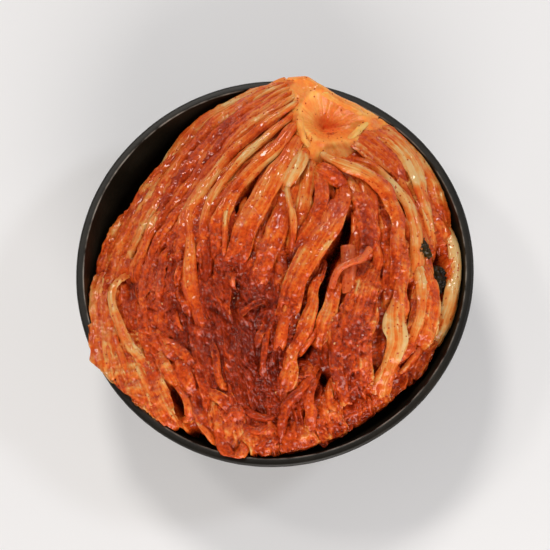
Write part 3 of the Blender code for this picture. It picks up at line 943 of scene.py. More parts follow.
# %% [markdown]
# ## The edges of the cut
# Round the funnel the leaf bases were sliced through, and their cut edges stand up a little: an
# outer leaf along the back, a pale one on the right, and one below, where the middle leaves start.
# They are leaves like the others, laid flat, but of the stump's dense flesh.

# %% Lay the cut edges
edges = Bunch("stump_edges")
lay_leaf(edges, ((40, 0.6), (56, 0.4), (72, 0.8), (88, 2.6), (98, 6)), (3, 4.5, 5, 5, 3),
         (0.2, 0.7, 0.8, 0.7, 0.2), -10, (0.05, 0.12, 0.2, 0.16, 0.1), 0.4, crown=0.1, thick=1.4)
lay_leaf(edges, ((97, 12), (93, 15.5), (86, 18), (78, 20)), (3, 4, 4.5, 3), (0.0, 0.5, 0.5, 0.2),
         8, (0.1, 0.0, 0.04, 0.2), 0.6, crown=0.25, thick=1.4)
lay_leaf(edges, ((26, 18), (36, 18.8), (48, 19.2), (60, 20)), (3, 4, 4, 3), (0.3, 0.7, 0.7, 0.3),
         0, (0.02, 0.08, 0.1, 0.16), 0.4, crown=0.25, thick=1.4)
edges = edges.build(stump_flesh)
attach(edges, "root")

# %% [markdown]
# ## Leaves that only half show
# Most leaves in the head show just a strip between their neighbours. There are too many to
# place by hand, so they are laid by chance along the fan, narrow and low, and take their paste
# from the map. The leaves that stand out come on top of them afterwards.

# %% Lay the half hidden leaves
UNDER_LEAVES = 44
GAP = (62, 73)            # per cent across, where the leaves have pulled apart
SAUCY = (22, 55)          # per cent across, where the paste hides whatever lies lower
EDGE_GAP = 91             # per cent across, beyond it a dark gap shows low down
under = Bunch("leaves_under", TIP_FLARE)
for place in np.linspace(2, 98, UNDER_LEAVES):
    start = rng.uniform(18, 62)
    if GAP[0] < place < GAP[1]:
        continue
    finish = min(start + rng.uniform(28, 60), 100)
    if SAUCY[0] < place < SAUCY[1]:
        start, finish = min(start, 45), min(finish, 66)
    if place > EDGE_GAP:
        start, finish = min(start, 40), min(finish, 66)
    course = [(place + rng.uniform(-2, 2), spot) for spot in np.linspace(start, finish, 5)]
    spots = np.array(course) / 100
    coated = (paste_at(spots[:, 0], spots[:, 1]) + rng.uniform(-0.15, 0.15)).tolist()
    wide = rng.uniform(5, 10)
    roll = (place - 50) * 0.35 + rng.uniform(-10, 10)
    widths = (wide * 0.5, wide, wide * 1.1, wide, wide * 0.5)
    crumpled = (0.1 + np.clip(spots[:, 1] - 0.3, 0, 0.6) * 1.4).tolist()
    lay_leaf(under, course, widths, rng.uniform(-1.2, 0.6), roll, coated, crumpled, (0, 0, 0.2, 0.4, 0.6),
             coarse=1.4)
under = under.build(leaf_flesh)

# %% [markdown]
# ## Leaves on the left
# On the left the ribs run side by side in long clean curves, with more paste drawn where one
# tucks under the next, partly real paste and partly painted shade. They are laid from the
# outside in, each a little higher and rolled a little more, so that its outer edge stands over
# the one before it. Fine ribs close to the stump come last.

# %% Lay the left leaves
LEFT_LEAVES = (
    (((3, 12), (1, 20), (0, 30), (0.5, 42), (2.5, 52), (4, 62)), (5, 9, 11, 10, 8, 4), -1.5, 4, 0.12,
     0.1, dict(thick=3.4)),
    (((7, 12), (5, 22), (5, 32), (6, 42), (7, 52), (8, 62), (7, 70)), (5, 8, 9, 9, 9, 8, 4),
     (-1, 0, 0.5, 0.5, 0.5, 0.5, 0), -5, (0.15, 0.2, 0.3, 0.4, 0.3, 0.2, 0.2), 0.2, dict(thick=2.8)),
    (((10, 13), (10, 22), (10, 32), (11.5, 42), (12, 52), (11, 60)), (4, 7, 8, 9, 8, 4),
     (-1, 0.5, 0.8, 0.8, 0.5, 0), -8, (0.15, 0.25, 0.4, 0.55, 0.55, 0.4), 0.25, dict(thick=2.8)),
    (((14, 14), (14.5, 24), (15, 34), (16, 42), (16.5, 49)), (4, 7, 8, 7, 3), (-1, 0.8, 1, 1, 0), -8,
     (0.15, 0.3, 0.4, 0.55, 0.6), 0.25, dict(thick=2.8)),
    (((18, 15), (19, 25), (19.5, 34), (20.5, 40), (21.5, 45)), (4, 6, 7, 6, 3), (-1, 1, 1.4, 1.2, 0), -8,
     (0.15, 0.25, 0.3, 0.4, 0.5), 0.2, dict(thick=2.8)),
    (((22, 16), (23.5, 26), (24.5, 35), (25, 43), (25, 50), (25, 55), (28.5, 59), (31, 64), (31.5, 70),
     (33, 76), (35, 82)), (4, 6, 7, 7, 8, 7, 5, 6.5, 7, 6, 3),
     (-1, 1.5, 2, 2, 2, 1.5, 1.5, 2, 2, 1.5, 0), -8,
     (0.15, 0.2, 0.2, 0.2, 0.25, 0.25, 0.15, 0.05, 0.05, 0.1, 0.4), 0.12, dict(thick=2.8)),
    (((24, 50), (21.5, 55), (18.5, 59), (17.5, 64), (17.5, 70), (17, 75)), (3, 6, 5, 5, 4, 2),
     (0, 1.5, 1.5, 1.5, 1, 0), -8, (0.3, 0.35, 0.35, 0.5, 0.6, 0.7), 0.4),
    (((27, 17), (30.5, 27), (31.5, 34), (31.5, 41), (31.5, 48), (32, 54), (34, 60), (36, 66), (36, 72)),
     (3, 5, 5.5, 5, 5, 5, 5, 4.5, 2), (-1, 2, 2.5, 2.5, 2.5, 2.2, 2, 1.5, 0), -12,
     (0.15, 0.2, 0.15, 0.12, 0.15, 0.2, 0.35, 0.5, 0.6), 0.12, dict(thick=2.8)),
    (((34, 17.5), (36.3, 22), (38, 28), (38.5, 34), (37.5, 40), (37, 46), (37.5, 52), (38.5, 58),
     (40, 63)), (4, 6, 8, 8.5, 8, 7.5, 8.5, 8, 5), (-1, 1.5, 2.5, 3, 3, 3, 3, 2, 0.5), -12,
     (0.2, 0.18, 0.15, 0.12, 0.15, 0.25, 0.35, 0.45, 0.5),
     (0.1, 0.1, 0.1, 0.12, 0.2, 0.3, 0.5, 0.6, 0.6), (0, 0, 0, 0, 0, 0, 0.5, 0.8, 0.5), dict(thick=2.2)),
    (((40, 18.5), (43, 23), (45, 29), (45.5, 35), (45.5, 42), (44.5, 49), (43.5, 56), (43, 64)),
     (5, 8, 10, 12, 12, 12, 11, 7), (-1, 1.5, 2.5, 3.2, 3.5, 3.2, 2.5, 1), -6,
     (0.2, 0.15, 0.12, 0.12, 0.18, 0.3, 0.45, 0.6), (0.1, 0.1, 0.1, 0.1, 0.2, 0.4, 0.6, 0.7),
     dict(thick=2.2)),
    (((5, 50), (5.5, 57), (5, 64), (3.5, 71), (2, 78)), (4, 7, 8, 8, 5), (0.5, 1, 1, 0.5, 0), -5,
     (0.25, 0.2, 0.25, 0.35, 0.4), 0.3),
    (((9, 52), (9.5, 59), (9.5, 66), (8.5, 73)), (4, 6, 6, 3), (0.5, 1.5, 1.5, 0), -5,
     (0.2, 0.1, 0.12, 0.2), 0.25),
    (((12.5, 54), (13, 61), (13.2, 68), (12.5, 74)), (3, 5.5, 5.5, 3), (0.5, 2, 2, 1), -8,
     (0.2, 0.1, 0.08, 0.3), 0.25),
    (((1, 61), (-0.5, 66), (-0.5, 71), (0.5, 77), (1.5, 83)), (3, 9, 10, 8, 4), (-1.5, -1, -1, -1, -1),
     -5, (0.4, 0.35, 0.35, 0.4, 0.4), 0.5, 0.4),
)
FINE_RIBS = (4.5, 8.5, 12.5, 16.5, 20.5, 25.5)   # per cent across
left = Bunch("leaves_left", TIP_FLARE)
lay_leaves(left, LEFT_LEAVES)
for place in FINE_RIBS:
    course = ((place + 1, 12.5), (place, 17), (place - 1, 24), (place - 1.5, 32))
    lay_leaf(left, course, (2.5, 3.5, 4, 2), (0.0, 1.2, 1.4, 0.0), -8, rng.uniform(0.1, 0.22), 0.12,
             crown=0.35)
left = left.build(leaf_flesh)

# %% [markdown]
# ## Leaves in the middle
# The middle leaves are shorter and come from the heart. Some show a clean rib, and the rest are
# blades that lie crumpled under the paste. Of the lowest only the edges still stand out of it, so
# those are thin folds with a lot of paste on them, each rolled its own way.

# %% Lay the middle leaves
PASTE_FOLDS = (           # leaf edges that stand up out of the paste
    ((45.8, 74.5), (45.2, 72.5), (46.4, 70.5), (48.5, 68.4), (53, 65)),
    ((41.6, 60), (41.8, 64), (41.6, 68), (41.8, 72.5), (39.6, 76)),
    ((49.4, 79), (49.4, 76), (50.6, 73.6), (54.5, 70.8)),
    ((44, 61), (43.6, 65), (42.6, 68)),
    ((20.6, 68), (18.8, 72), (17.4, 76), (18.2, 80)),
    ((20, 79.6), (22.4, 81.6), (25.2, 84), (28.6, 86.2), (29, 89)),
    ((26.4, 72), (28, 74.5), (30, 77), (31.8, 79)),
    ((30, 66), (28, 70), (28.4, 73)),
    ((35, 80), (36.5, 84), (36, 88), (38, 91)),
    ((25, 76), (26.5, 79), (27, 82)),
)
MIDDLE_LEAVES = (
    (((49.5, 19), (50.5, 23), (51, 28), (50.5, 34), (49.8, 40)), (6, 7, 8, 7.5, 4), (-1, 1.5, 3, 3.5, 3),
     0, (0.25, 0.18, 0.1, 0.1, 0.2), 0.1, dict(thick=2.6)),
    (((50, 36), (52, 40.5), (54.3, 45), (55.8, 50), (57, 56)), (2.5, 4, 4, 4, 2), (3, 5, 5, 4.5, 3), 0,
     (0.1, 0.15, 0.2, 0.3, 0.5), 0.1, dict(crown=0.5)),
    (((50.5, 40), (51.5, 46), (51.5, 52), (50.5, 58), (49.5, 64)), (6, 11, 12, 10, 5), (0, 2, 2.2, 2, 1),
     0, (0.3, 0.35, 0.45, 0.6, 0.7), (0.2, 0.3, 0.5, 0.7, 0.8), dict(thick=2)),
    (((59, 25), (60.2, 31), (60.5, 37), (60, 44), (58.5, 51), (57, 57)), (4, 6, 9, 9, 7, 3),
     (1, 3, 3.5, 3.5, 3, 1.5), 10, (0.3, 0.3, 0.35, 0.4, 0.5, 0.6), 0.35),
    (((57.5, 26), (61, 29), (65.5, 31.5), (70, 34.5)), (5, 8, 9, 6), (2, 4, 4, 2.5), 14,
     (0.3, 0.35, 0.4, 0.5), 0.35),
    (((68.5, 30), (66.8, 36), (65.4, 42), (63.8, 48), (62, 54), (60.3, 60), (58.5, 66), (56.5, 73)),
     (5, 8, 12, 13, 13, 12, 9, 5), (0, 1.5, 4, 5, 5, 4.5, 3.5, 2), 9,
     (0.5, 0.45, 0.36, 0.24, 0.2, 0.26, 0.4, 0.55), (0.3, 0.3, 0.35, 0.35, 0.4, 0.5, 0.6, 0.7),
     dict(thick=2.0, crown=0.08)),
    (((59.5, 60), (58.3, 65), (57.3, 69.5), (55.8, 74), (54, 79)), (3, 5, 6, 6, 3),
     (1, 2.5, 2.8, 2.5, 0.5), 5, (0.45, 0.3, 0.22, 0.25, 0.5), 0.3),
    (((65.5, 56), (65, 62), (64.2, 68), (63, 73), (60.5, 77), (58, 81), (55.5, 85), (53, 90)),
     (3, 5, 7, 9, 7, 9, 8, 4), (1, 3, 3.2, 3.2, 2.8, 2.6, 2.2, 0.5), 6,
     (0.5, 0.35, 0.28, 0.12, 0.3, 0.12, 0.18, 0.5), 0.5, dict(thick=1.6, crown=0.05)),
    (((17, 63), (17, 69), (17.5, 75), (19, 80), (22, 84)), (2, 5, 5, 4.5, 3), (0, 1.5, 1.5, 1, 0), 6,
     0.65, 0.7),
    (((22.5, 61), (22, 67), (22.5, 73), (23.5, 79)), (2, 5, 5, 3), (0, 1.5, 1.2, 0), 6, 0.65, 0.7),
    (((19, 80), (23, 83.5), (26.5, 86.5), (28.5, 90)), (3, 5, 6, 4), (0, 2, 2, 1), 0, 0.45, 0.6, 0.3),
    (((53, 70), (51.5, 75), (50.5, 80), (49.5, 86)), (2.5, 4, 4, 2.5), (1, 2, 2, 0.5), 8, 0.5, 0.4),
    (((66, 72), (65, 75.5), (63, 78), (60.5, 80)), (2, 3.5, 3.5, 2), (1, 2.5, 2.5, 1), 0, 0.4, 0.3,
     dict(crown=0.4)),
    (((61, 80), (63, 84), (61, 88), (57, 91)), (5, 11, 11, 6), (-0.5, 0.8, 0.8, 0), 6, 0.68, 0.9, 0.2),
    (((36.8, 47), (38, 52), (39.8, 57), (40.6, 61), (39.5, 65)), (1.5, 2.5, 3, 3, 1.5),
     (3, 4.2, 4, 3, 1), -20, 0.14, 0.3, 0.3, dict(crown=0.4, thick=1.4)),
)
middle = Bunch("leaves_middle", TIP_FLARE)
lay_leaves(middle, MIDDLE_LEAVES)
for course in PASTE_FOLDS:
    lay_leaf(middle, course, (2, 4, 4.6, 4, 2), (0, 1.2, 1.5, 1.2, 0), rng.uniform(-24, 24),
             rng.uniform(0.56, 0.66), 0.9, 0.4, crown=0.16, thick=1.2)
middle = middle.build(leaf_flesh)

# %% [markdown]
# ## Leaves on the right
# On the right the inner leaves lie over the outer ones, so here the right edge of each stands
# free. The big blade low on this side is crumpled all over and shines with brine.

# %% Lay the right leaves
RIGHT_LEAVES = (
    (((96, 9), (99, 17), (99.3, 27), (99, 37), (98.5, 47), (98, 56), (97.5, 64)),
     (4, 7, 10, 12, 12, 10, 5), (-2, -1.5, -0.5, -0.5, -0.5, -1, -2), -4,
     (0.22, 0.18, 0.12, 0.1, 0.18, 0.35, 0.45), 0.3, dict(thick=2.0)),
    (((99.2, 57), (99.4, 65), (99.2, 73), (99, 81), (99, 88), (99, 94.5)), (4, 7.5, 9, 9, 8, 5),
     (-2, 0.2, 0.6, 0.4, -0.2, -1.5), 0, (0.1, -0.08, -0.12, -0.1, -0.02, 0.2), 0.1,
     dict(thick=3.4, own=1.0)),
    (((92, 13), (94, 19), (95.5, 27), (95.8, 36), (94.3, 43), (93.2, 50), (93, 57), (93.2, 64)),
     (5, 8, 11, 12, 9, 6, 5, 3), (-3, -0.8, 1, 1.5, 1.8, 1.8, 1.5, 0), 5,
     (0.22, 0.18, 0.12, 0.06, 0.06, 0.04, 0.08, 0.2), 0.2, dict(thick=2.0, crown=0.08)),
    (((83, 12), (85, 17), (87.5, 23), (89.5, 30), (91, 37), (92, 45)), (8, 14, 17, 16, 9, 2),
     (-3.5, -1, 0.8, 1.3, 0.6, -1), 4, (0.2, 0.22, 0.28, 0.32, 0.4, 0.55), 0.22,
     dict(thick=1.8, crown=0.05)),
    (((80, 25), (84, 31), (86.5, 38), (88, 45), (88.3, 52), (87, 60), (87, 68)), (3, 5, 6, 7, 8, 7, 4),
     (0, 2, 2.2, 2.4, 2.5, 2.2, 1), 8, (0.3, 0.12, 0.04, 0.0, 0.0, 0.06, 0.25), 0.12,
     dict(thick=2.8, own=1.0)),
    (((71, 33), (73, 40), (74.5, 47), (75, 54), (75.5, 60)), (6, 11, 12, 10, 4), (0, 1.5, 1.5, 1.5, 0),
     4, (0.38, 0.42, 0.45, 0.5, 0.6), 0.7),
    (((70, 41), (70.6, 46), (71, 51)), (2, 3.5, 2), (0, 1.5, 0), 0, 0.15, 0.1),
    (((59.5, 20.5), (66, 25.5), (73, 29), (79, 33), (82, 38), (83, 44), (82.8, 50), (82, 57), (81.5, 64),
     (81.5, 70)), (3, 6, 7.5, 8.5, 9, 8.5, 8, 8, 6, 3), (1, 4, 4.5, 4.8, 4.8, 4.5, 4, 3.5, 3, 1.5), 12,
     (0.1, 0.12, 0.15, 0.2, 0.3, 0.4, 0.45, 0.45, 0.5, 0.5),
     (0.1, 0.1, 0.12, 0.2, 0.3, 0.45, 0.6, 0.7, 0.7, 0.7), dict(thick=2.8)),
    (((69.5, 58), (69, 63), (68.6, 68), (67.8, 73), (66.5, 80)), (4, 7, 9, 9, 4), (0, 2.5, 3, 2.8, 0.5),
     4, (0.5, 0.35, 0.2, 0.22, 0.4), 0.5),
    (((77, 57), (75.5, 63), (74.3, 69), (73.5, 76), (73.3, 83), (73.5, 90), (74, 96)),
     (8, 15, 20, 22, 21, 19, 11), (1, 3, 3.5, 3.5, 3.5, 3, 1), 3,
     (0.5, 0.45, 0.5, 0.55, 0.5, 0.48, 0.45), (0.8, 1, 1, 1, 1, 1, 1), 0.3, dict(thick=2)),
    (((73.5, 71), (70.8, 76), (70, 82), (70.8, 88), (73, 93)), (3, 6, 7, 7, 4), (3, 5, 5.5, 5, 3), -6,
     0.55, 0.8, 0.2, dict(crown=0.4)),
    (((76.5, 60), (73.5, 65), (72, 70), (72.5, 74)), (2.5, 5, 5, 3), (3, 5, 5, 3), 0, 0.4, 0.7),
    (((84, 52), (83, 58), (82.6, 64), (82.8, 70), (83.8, 77)), (4, 7, 8, 7, 3), (3, 5, 5, 5, 3), 6,
     (0.4, 0.4, 0.35, 0.3, 0.3), 0.7, 0.2),
    (((82.4, 60), (81.9, 66), (81.7, 71), (82.1, 76), (82.1, 80.5), (81.5, 85), (80.7, 89), (80.4, 94),
     (80.4, 101)), (3, 5, 9, 13, 13, 10, 8, 7, 5), (2, 4, 4.8, 5, 5, 4.5, 4.2, 3.5, 1), 8,
     (0.5, 0.35, 0.16, 0.02, 0.02, 0.14, 0.28, 0.32, 0.4), 0.3, 0.2,
     dict(thick=1.6, crown=0.08, own=1.0)),
    (((86, 58), (87.5, 65), (88.2, 72), (88, 79), (86.3, 85), (84.5, 90)), (4, 7, 7, 6, 5, 3),
     (1, 2.5, 3, 3, 2, 0), 6, (0.15, 0.05, 0.08, 0.16, 0.3, 0.5), 0.3, dict(own=0.8)),
    (((88.8, 60), (89.8, 66), (90.8, 72), (91.4, 79), (91.6, 86), (92, 91)), (5, 8, 10, 11, 10, 6),
     (1, 2.8, 3, 3, 2.4, 0), 8, (0.12, 0.16, 0.24, 0.12, 0.2, 0.45), 0.5, 0.2, dict(own=0.8)),
    (((85, 95), (87.5, 91.5), (91, 89.5), (94.5, 90)), (2, 4.5, 4.5, 2), (0, 2, 2, 0), 0, 0.2, 0.3, 0.3),
    (((86, 92), (88, 96), (89, 100.5)), (7, 13, 9), (-3, -2, -3), 0, 0.85, 0.4, dict(thick=2)),
)
right = Bunch("leaves_right", TIP_FLARE)
lay_leaves(right, RIGHT_LEAVES)
right = right.build(leaf_flesh)

# %% [markdown]
# ## Leaf ends
# The thin green tops of the leaves end up at the front of the bowl. They fold over each other
# every which way, with frilled edges, and hold less paste than the middle.

# %% Lay the leaf ends
END_LEAVES = (
    (((4.5, 74), (3.5, 81), (3.3, 88), (3.8, 95), (4.5, 102)), (10, 17, 20, 20, 16),
     (-1.5, -0.5, 0.2, 0.3, 0), -4, (0.35, 0.32, 0.3, 0.24, 0.06), 0.5, (0, 0.1, 0.2, 0.3, 0.4),
     dict(thick=1.6, crown=0.05)),
    (((10, 84), (10.5, 90), (11, 96), (12, 102)), (13, 21, 24, 22), (-1, 0.2, 0.5, 0), 3,
     (0.42, 0.36, 0.32, 0.24), 0.8, 0.4, dict(thick=1.6, crown=0.05)),
    (((15.5, 86), (15.6, 91), (16.2, 96), (18, 101)), (10, 13, 15, 14), (-0.5, 0.8, 1, 0.3), 6,
     (0.45, 0.34, 0.24, 0.2), 0.7, 0.3, dict(thick=1.6, crown=0.05)),
    (((3, 83), (3.5, 89), (4, 95), (5, 100)), (2, 3, 3, 2), (0.5, 1.6, 1.8, 1), 0, 0.3, 0.3,
     dict(crown=0.4)),
    (((7, 85), (7.5, 90), (8.5, 95), (9.5, 100.5)), (3, 4.5, 5, 3), (0.5, 1.8, 2, 1), 6, 0.28, 0.4, 0.2,
     dict(crown=0.35)),
    (((10.5, 72), (8.2, 76), (7.2, 80), (8.6, 84), (11.5, 87), (15, 89), (19, 90)),
     (4, 6, 6, 6, 6.5, 6.5, 4), (0, 2.2, 3, 3.2, 3, 2.2, 0.5), 10,
     (0.3, 0.1, 0.02, 0.02, 0.08, 0.16, 0.3), (0.5, 0.4, 0.25, 0.2, 0.4, 0.6, 0.7), 0.4,
     dict(crown=0.25, thick=1.8, own=0.8)),
    (((13, 89), (14, 93), (15, 98)), (3, 5.5, 4), (1, 2, 1), 4, 0.3, 0.5, 0.3, dict(crown=0.3)),
    (((20, 84.5), (22, 87), (23.5, 90), (24, 92)), (4, 7, 7, 4), (1, 2.2, 2.2, 1), 4,
     (0.34, 0.16, 0.3, 0.34), 0.8, 0.6, dict(thick=1.8)),
    (((24.8, 84), (26.4, 88), (27.6, 92.5)), (4, 10, 5), (1, 2.6, 1.5), 6, (0.34, 0.26, 0.3), 0.4, 0.3,
     dict(thick=1.8)),
    (((21, 90.5), (23.8, 91), (25, 93.2), (24, 95.8), (21, 97)), (2, 3.5, 4, 5, 4), (1, 3.2, 3.6, 3, 2),
     0, (0.3, 0.24, 0.2, 0.2, 0.22), 0.4, 0.3, dict(crown=0.2, thick=1.6)),
    (((25.5, 92.5), (28, 95.5), (30.5, 98.5)), (4, 8, 6), (-0.5, 0.8, 0), 0, 0.42, 0.6, 0.3,
     dict(thick=1.8)),
    (((35, 88), (35.5, 92), (36, 96), (36.4, 101)), (10, 17, 17, 12), (-0.5, 0.3, 0, -0.3), 3,
     (0.55, 0.5, 0.45, 0.4), 0.8, 0.3, dict(thick=1.6, crown=-0.15)),
    (((32.4, 90.5), (33, 93.5), (32.8, 96.5), (32.9, 99.4), (35, 100.8), (38, 99.8), (39.8, 97.6),
     (39.6, 95.4)), (3, 5, 6, 6.5, 7, 6.5, 5.5, 3), (0.5, 1.6, 1.8, 1.7, 1.6, 1.6, 1.6, 0.5), 0,
     (0.4, 0.3, 0.24, 0.2, 0.18, 0.22, 0.3, 0.4), 0.6, 0.4, dict(crown=0.12)),
    (((39.8, 99.2), (42.8, 98.4), (46, 96.8), (48.4, 95.2)), (2.5, 4.2, 4.4, 2.5), (0.5, 2.2, 2.2, 0.5),
     6, 0.3, 0.3, 0.2, dict(crown=0.3)),
    (((23.4, 96.4), (26, 96.6), (29, 97.4), (31, 99.2)), (2.5, 4.6, 4.6, 3), (0, 1.8, 1.8, 0.5), 0, 0.24,
     0.4, 0.3, dict(crown=0.3)),
    (((30.5, 89.5), (33, 91), (36, 91.5), (38.5, 94)), (3, 7, 7, 4), (0.5, 2, 2, 1), 0,
     (0.42, 0.38, 0.44, 0.5), 0.6, 0.4, dict(thick=1.8)),
    (((44, 91), (44.5, 95), (44.5, 98), (44.5, 102)), (10, 19, 20, 16), (-0.5, 0.5, 0.3, 0), 3,
     (0.6, 0.52, 0.45, 0.4), 0.9, 0.3, dict(thick=1.6, crown=0.03)),
    (((38, 93.5), (42.5, 95), (47.5, 94.5), (52, 93)), (3, 4.5, 4.5, 3), (0.5, 2, 2, 0.5), 0, 0.5, 0.5,
     0.2, dict(crown=0.3)),
    (((41, 98), (45, 97.8), (49, 97), (52, 95.5)), (2.5, 4.5, 4.5, 3), (0.5, 2, 2, 0.5), 0, 0.4, 0.5,
     0.3, dict(crown=0.3)),
    (((40, 91), (44, 92.3), (48, 92.3), (52, 91)), (3, 5, 5, 3), (0, 1.5, 1.5, 0), 0, 0.7, 0.5, 0.2,
     dict(crown=0.3)),
    (((56, 92), (55, 96), (54.5, 99), (54, 103)), (10, 20, 22, 18), (-0.5, 0.6, 0.4, 0), 3,
     (0.55, 0.45, 0.38, 0.34), 0.9, 0.3, dict(thick=1.6, crown=0.03)),
    (((65.5, 88), (65.3, 93), (65, 98), (64.8, 103)), (8, 17, 22, 20), (-1, 0.3, 0.2, 0), 3,
     (0.62, 0.55, 0.5, 0.42), 1.0, 0.4, dict(thick=1.6, crown=0.03)),
    (((73, 91), (73.6, 95), (74, 99), (74.2, 103)), (10, 18, 20, 18), (0, 0.8, 0.4, 0), 3,
     (0.6, 0.55, 0.5, 0.45), 1.0, 0.4, dict(thick=1.6, crown=0.03)),
    (((67, 82), (63.5, 85), (59.5, 87.5), (54.5, 90), (51.2, 94.5), (49.8, 99.5)), (3, 5, 6, 6, 5.5, 4),
     (1, 3, 3, 2.5, 2, 0.5), 8, (0.42, 0.32, 0.28, 0.28, 0.25, 0.3), 0.4, 0.2, dict(crown=0.35)),
    (((66.5, 83.5), (63.8, 87), (61.3, 91), (60.2, 95.5), (59.4, 101)), (3, 5, 6, 6, 4),
     (1, 3.2, 3.4, 2.6, 0.5), 6, (0.45, 0.34, 0.28, 0.28, 0.32), 0.4, 0.2, dict(crown=0.35)),
    (((69, 86), (67.5, 90), (68, 94), (70, 97.5)), (3, 5, 6, 4), (1, 2.2, 2, 0.5), 0,
     (0.5, 0.45, 0.35, 0.35), 0.6, 0.3, dict(crown=0.3)),
    (((72, 97.5), (75.5, 96.5), (79, 97.5)), (3, 5, 3), (0.5, 1.8, 0.5), 0, 0.42, 0.6, 0.4,
     dict(crown=0.25)),
    (((78.5, 91), (79.5, 95), (80.3, 99), (80.8, 103)), (6, 12, 13, 10), (0, 1, 0.6, 0), 0,
     (0.5, 0.42, 0.36, 0.36), 0.8, 0.3, dict(thick=1.8)),
    (((94, 86), (94, 92), (94, 98), (94, 102)), (8, 12, 12, 8), (-2, -2, -2, -3), 0, 0.75, 0.5, 0.3,
     dict(thick=2)),
)
tips = Bunch("leaf_ends")
lay_leaves(tips, END_LEAVES)
tips = tips.build(leaf_flesh)
for bunch in (under, left, middle, right, tips):
    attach(bunch, "root")
    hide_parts("cabbage_head")

# %% [markdown]
# ## Radish
# Two sticks of white radish from the filling have worked loose: a block that stands between the
# leaves, and a thinner shred curled over it. Radish is crisp and even inside, so its cut edges
# stay straight, and the paste dyes it an even orange red.

# %% Cut and place the radish
SHRED_COURSE = ((54, 5, 91), (49, -1, 92.8), (42, -4, 93.9), (36, -8, 93), (32, -17, 90))
RADISH_TONES = ((0.0, "#e6853e"), (0.45, "#cc5628"), (1.0, "#963014"))
radish_flesh = pickled("radish dyed by chilli paste", RADISH_TONES, flesh=0.4, flecks=0.6)


def place_radish(name, course, width, thick, crown):
    line = through(np.array(course) * MM, np.linspace(0, 1, 70))
    stick = Bunch(name + "_cut")
    ones = np.ones(len(line))
    up = np.array((0.0, 0.0, 1.0)) * ones[:, None]
    strip(stick, line, up, width * MM * ones, thick * MM * ones, 0.4 * ones, 0.12, 0.0, crown,
          square=4, cut=True)
    stick = stick.build(radish_flesh)
    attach(stick, "root")
    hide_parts(name)


low, high = (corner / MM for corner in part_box("radish_stick"))
middle_x, middle_z = (low.x + high.x) / 2, (low.z + high.z) / 2
stick_course = ((middle_x - 0.4, high.y, middle_z), (middle_x, (low.y + high.y) / 2, middle_z + 0.3),
                (middle_x + 0.4, low.y, middle_z - 0.4))
place_radish("radish_stick", stick_course, 8.2, 5.2, 0.05)
place_radish("radish_shred", SHRED_COURSE, 4.0, 3.6, 0.1)

# %% [markdown]
# ## Wilted green scraps
# Two dark green leaf tips are caught between the outer leaves on the right. Pickling turns
# cabbage green to a drab near-black olive.

# %% Tuck in the green scraps
GREEN_TONES = ((0.0, "#3c2e14"), (0.5, "#21170b"), (1.0, "#120b05"))
SCRAPS = (
    (((88.8, 54.5), (89.6, 58), (90.3, 61.5), (91.3, 65)), (2, 6, 5, 2), (1, 2.6, 2.4, 0.5), 10, 0.3, 1.5,
     1.0, dict(thick=1.0)),
    (((93.2, 66), (94, 69), (94.8, 73), (95, 77)), (4, 9, 9, 4), (-1.5, -0.6, -0.8, -2), 0, 0.5, 1.2,
     0.8, dict(thick=1.0)),
)
green_leaf = pickled("wilted green leaf", GREEN_TONES, wet=0.6, flecks=0.1)
scraps = Bunch("green_scraps")
lay_leaves(scraps, SCRAPS)
scraps = scraps.build(green_leaf)
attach(scraps, "root")

# %% [markdown]
# ## Chilli flakes and seeds
# Coarse chilli flakes and a few pale seeds cling to the leaves. They are real little pieces,
# dropped straight down on to whatever lies there.

# %% Find what a bit lands on
FLAKES, SEEDS = 300, 14
landing = []
for thing in (heart, paste_layer, stump, edges, under, left, middle, right, tips):
    landing.append(BVHTree.FromObject(thing, bpy.context.evaluated_depsgraph_get()))


def drop(x, y):
    """Where something dropped at (x, y) lands, and which way the surface faces there."""
    best = (None, None)
    for tree_of in landing:
        place, normal, _, _ = tree_of.ray_cast(Vector((x, y, 0.2)), Vector((0, 0, -1)))
        if place is not None and (best[0] is None or place.z > best[0].z):
            best = (place, normal)
    return best


print("over the middle of the bowl a bit lands", round(drop(0, 0)[0].z / MM, 1), "mm up")


# %% Scatter flakes and seeds
def scatter(name, count, size, flat, sides, reach_across, reach_along, material):
    """Flat bits of some sides, size in mm, dropped over a part of the fan."""
    points, faces = [], []
    while len(points) < count * (sides + 2):
        across, along = rng.uniform(*reach_across), rng.uniform(*reach_along)
        place = fan(np.array([across]), np.array([along]))[0]
        spot, normal = drop(place[0], place[1])
        if spot is None or normal.z < 0.3:
            continue
        length = rng.uniform(*size) * MM
        aside = normal.cross(Vector((rng.normal(), rng.normal(), 0.3))).normalized()
        ahead = normal.cross(aside)
        first = len(points)
        for k in range(sides):
            turn = math.tau * k / sides
            reach = length / 2 * rng.uniform(0.7, 1.1)
            points.append(spot + aside * reach * math.cos(turn) + ahead * reach * 0.65 * math.sin(turn)
                          + normal * 0.08 * MM)
        points += [spot + normal * flat * length, spot - normal * 0.2 * length]
        for k in range(sides):
            beside = first + (k + 1) % sides
            faces += [(first + k, beside, first + sides), (beside, first + k, first + sides + 1)]
    thing = make_mesh(name, np.array([tuple(p) for p in points]), faces)
    thing.data.materials.append(material)
    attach(thing, "root")
    print("scattered", count, name)


def dry_bit(name, dark, light, roughness):
    material, tree, shader = new_material(
        name, Roughness=roughness, IOR=1.45, Coat_Weight=0.4, Coat_Roughness=0.15)
    place = node(tree, "TexCoord").outputs["Object"]
    mottle = node(tree, "TexNoise", {"Vector": place, "Scale": 1000 / 2}).outputs["Fac"]
    tree.links.new(ramp(tree, mottle, ((0.3, dark), (0.7, light))), shader.inputs["Base Color"])
    return material


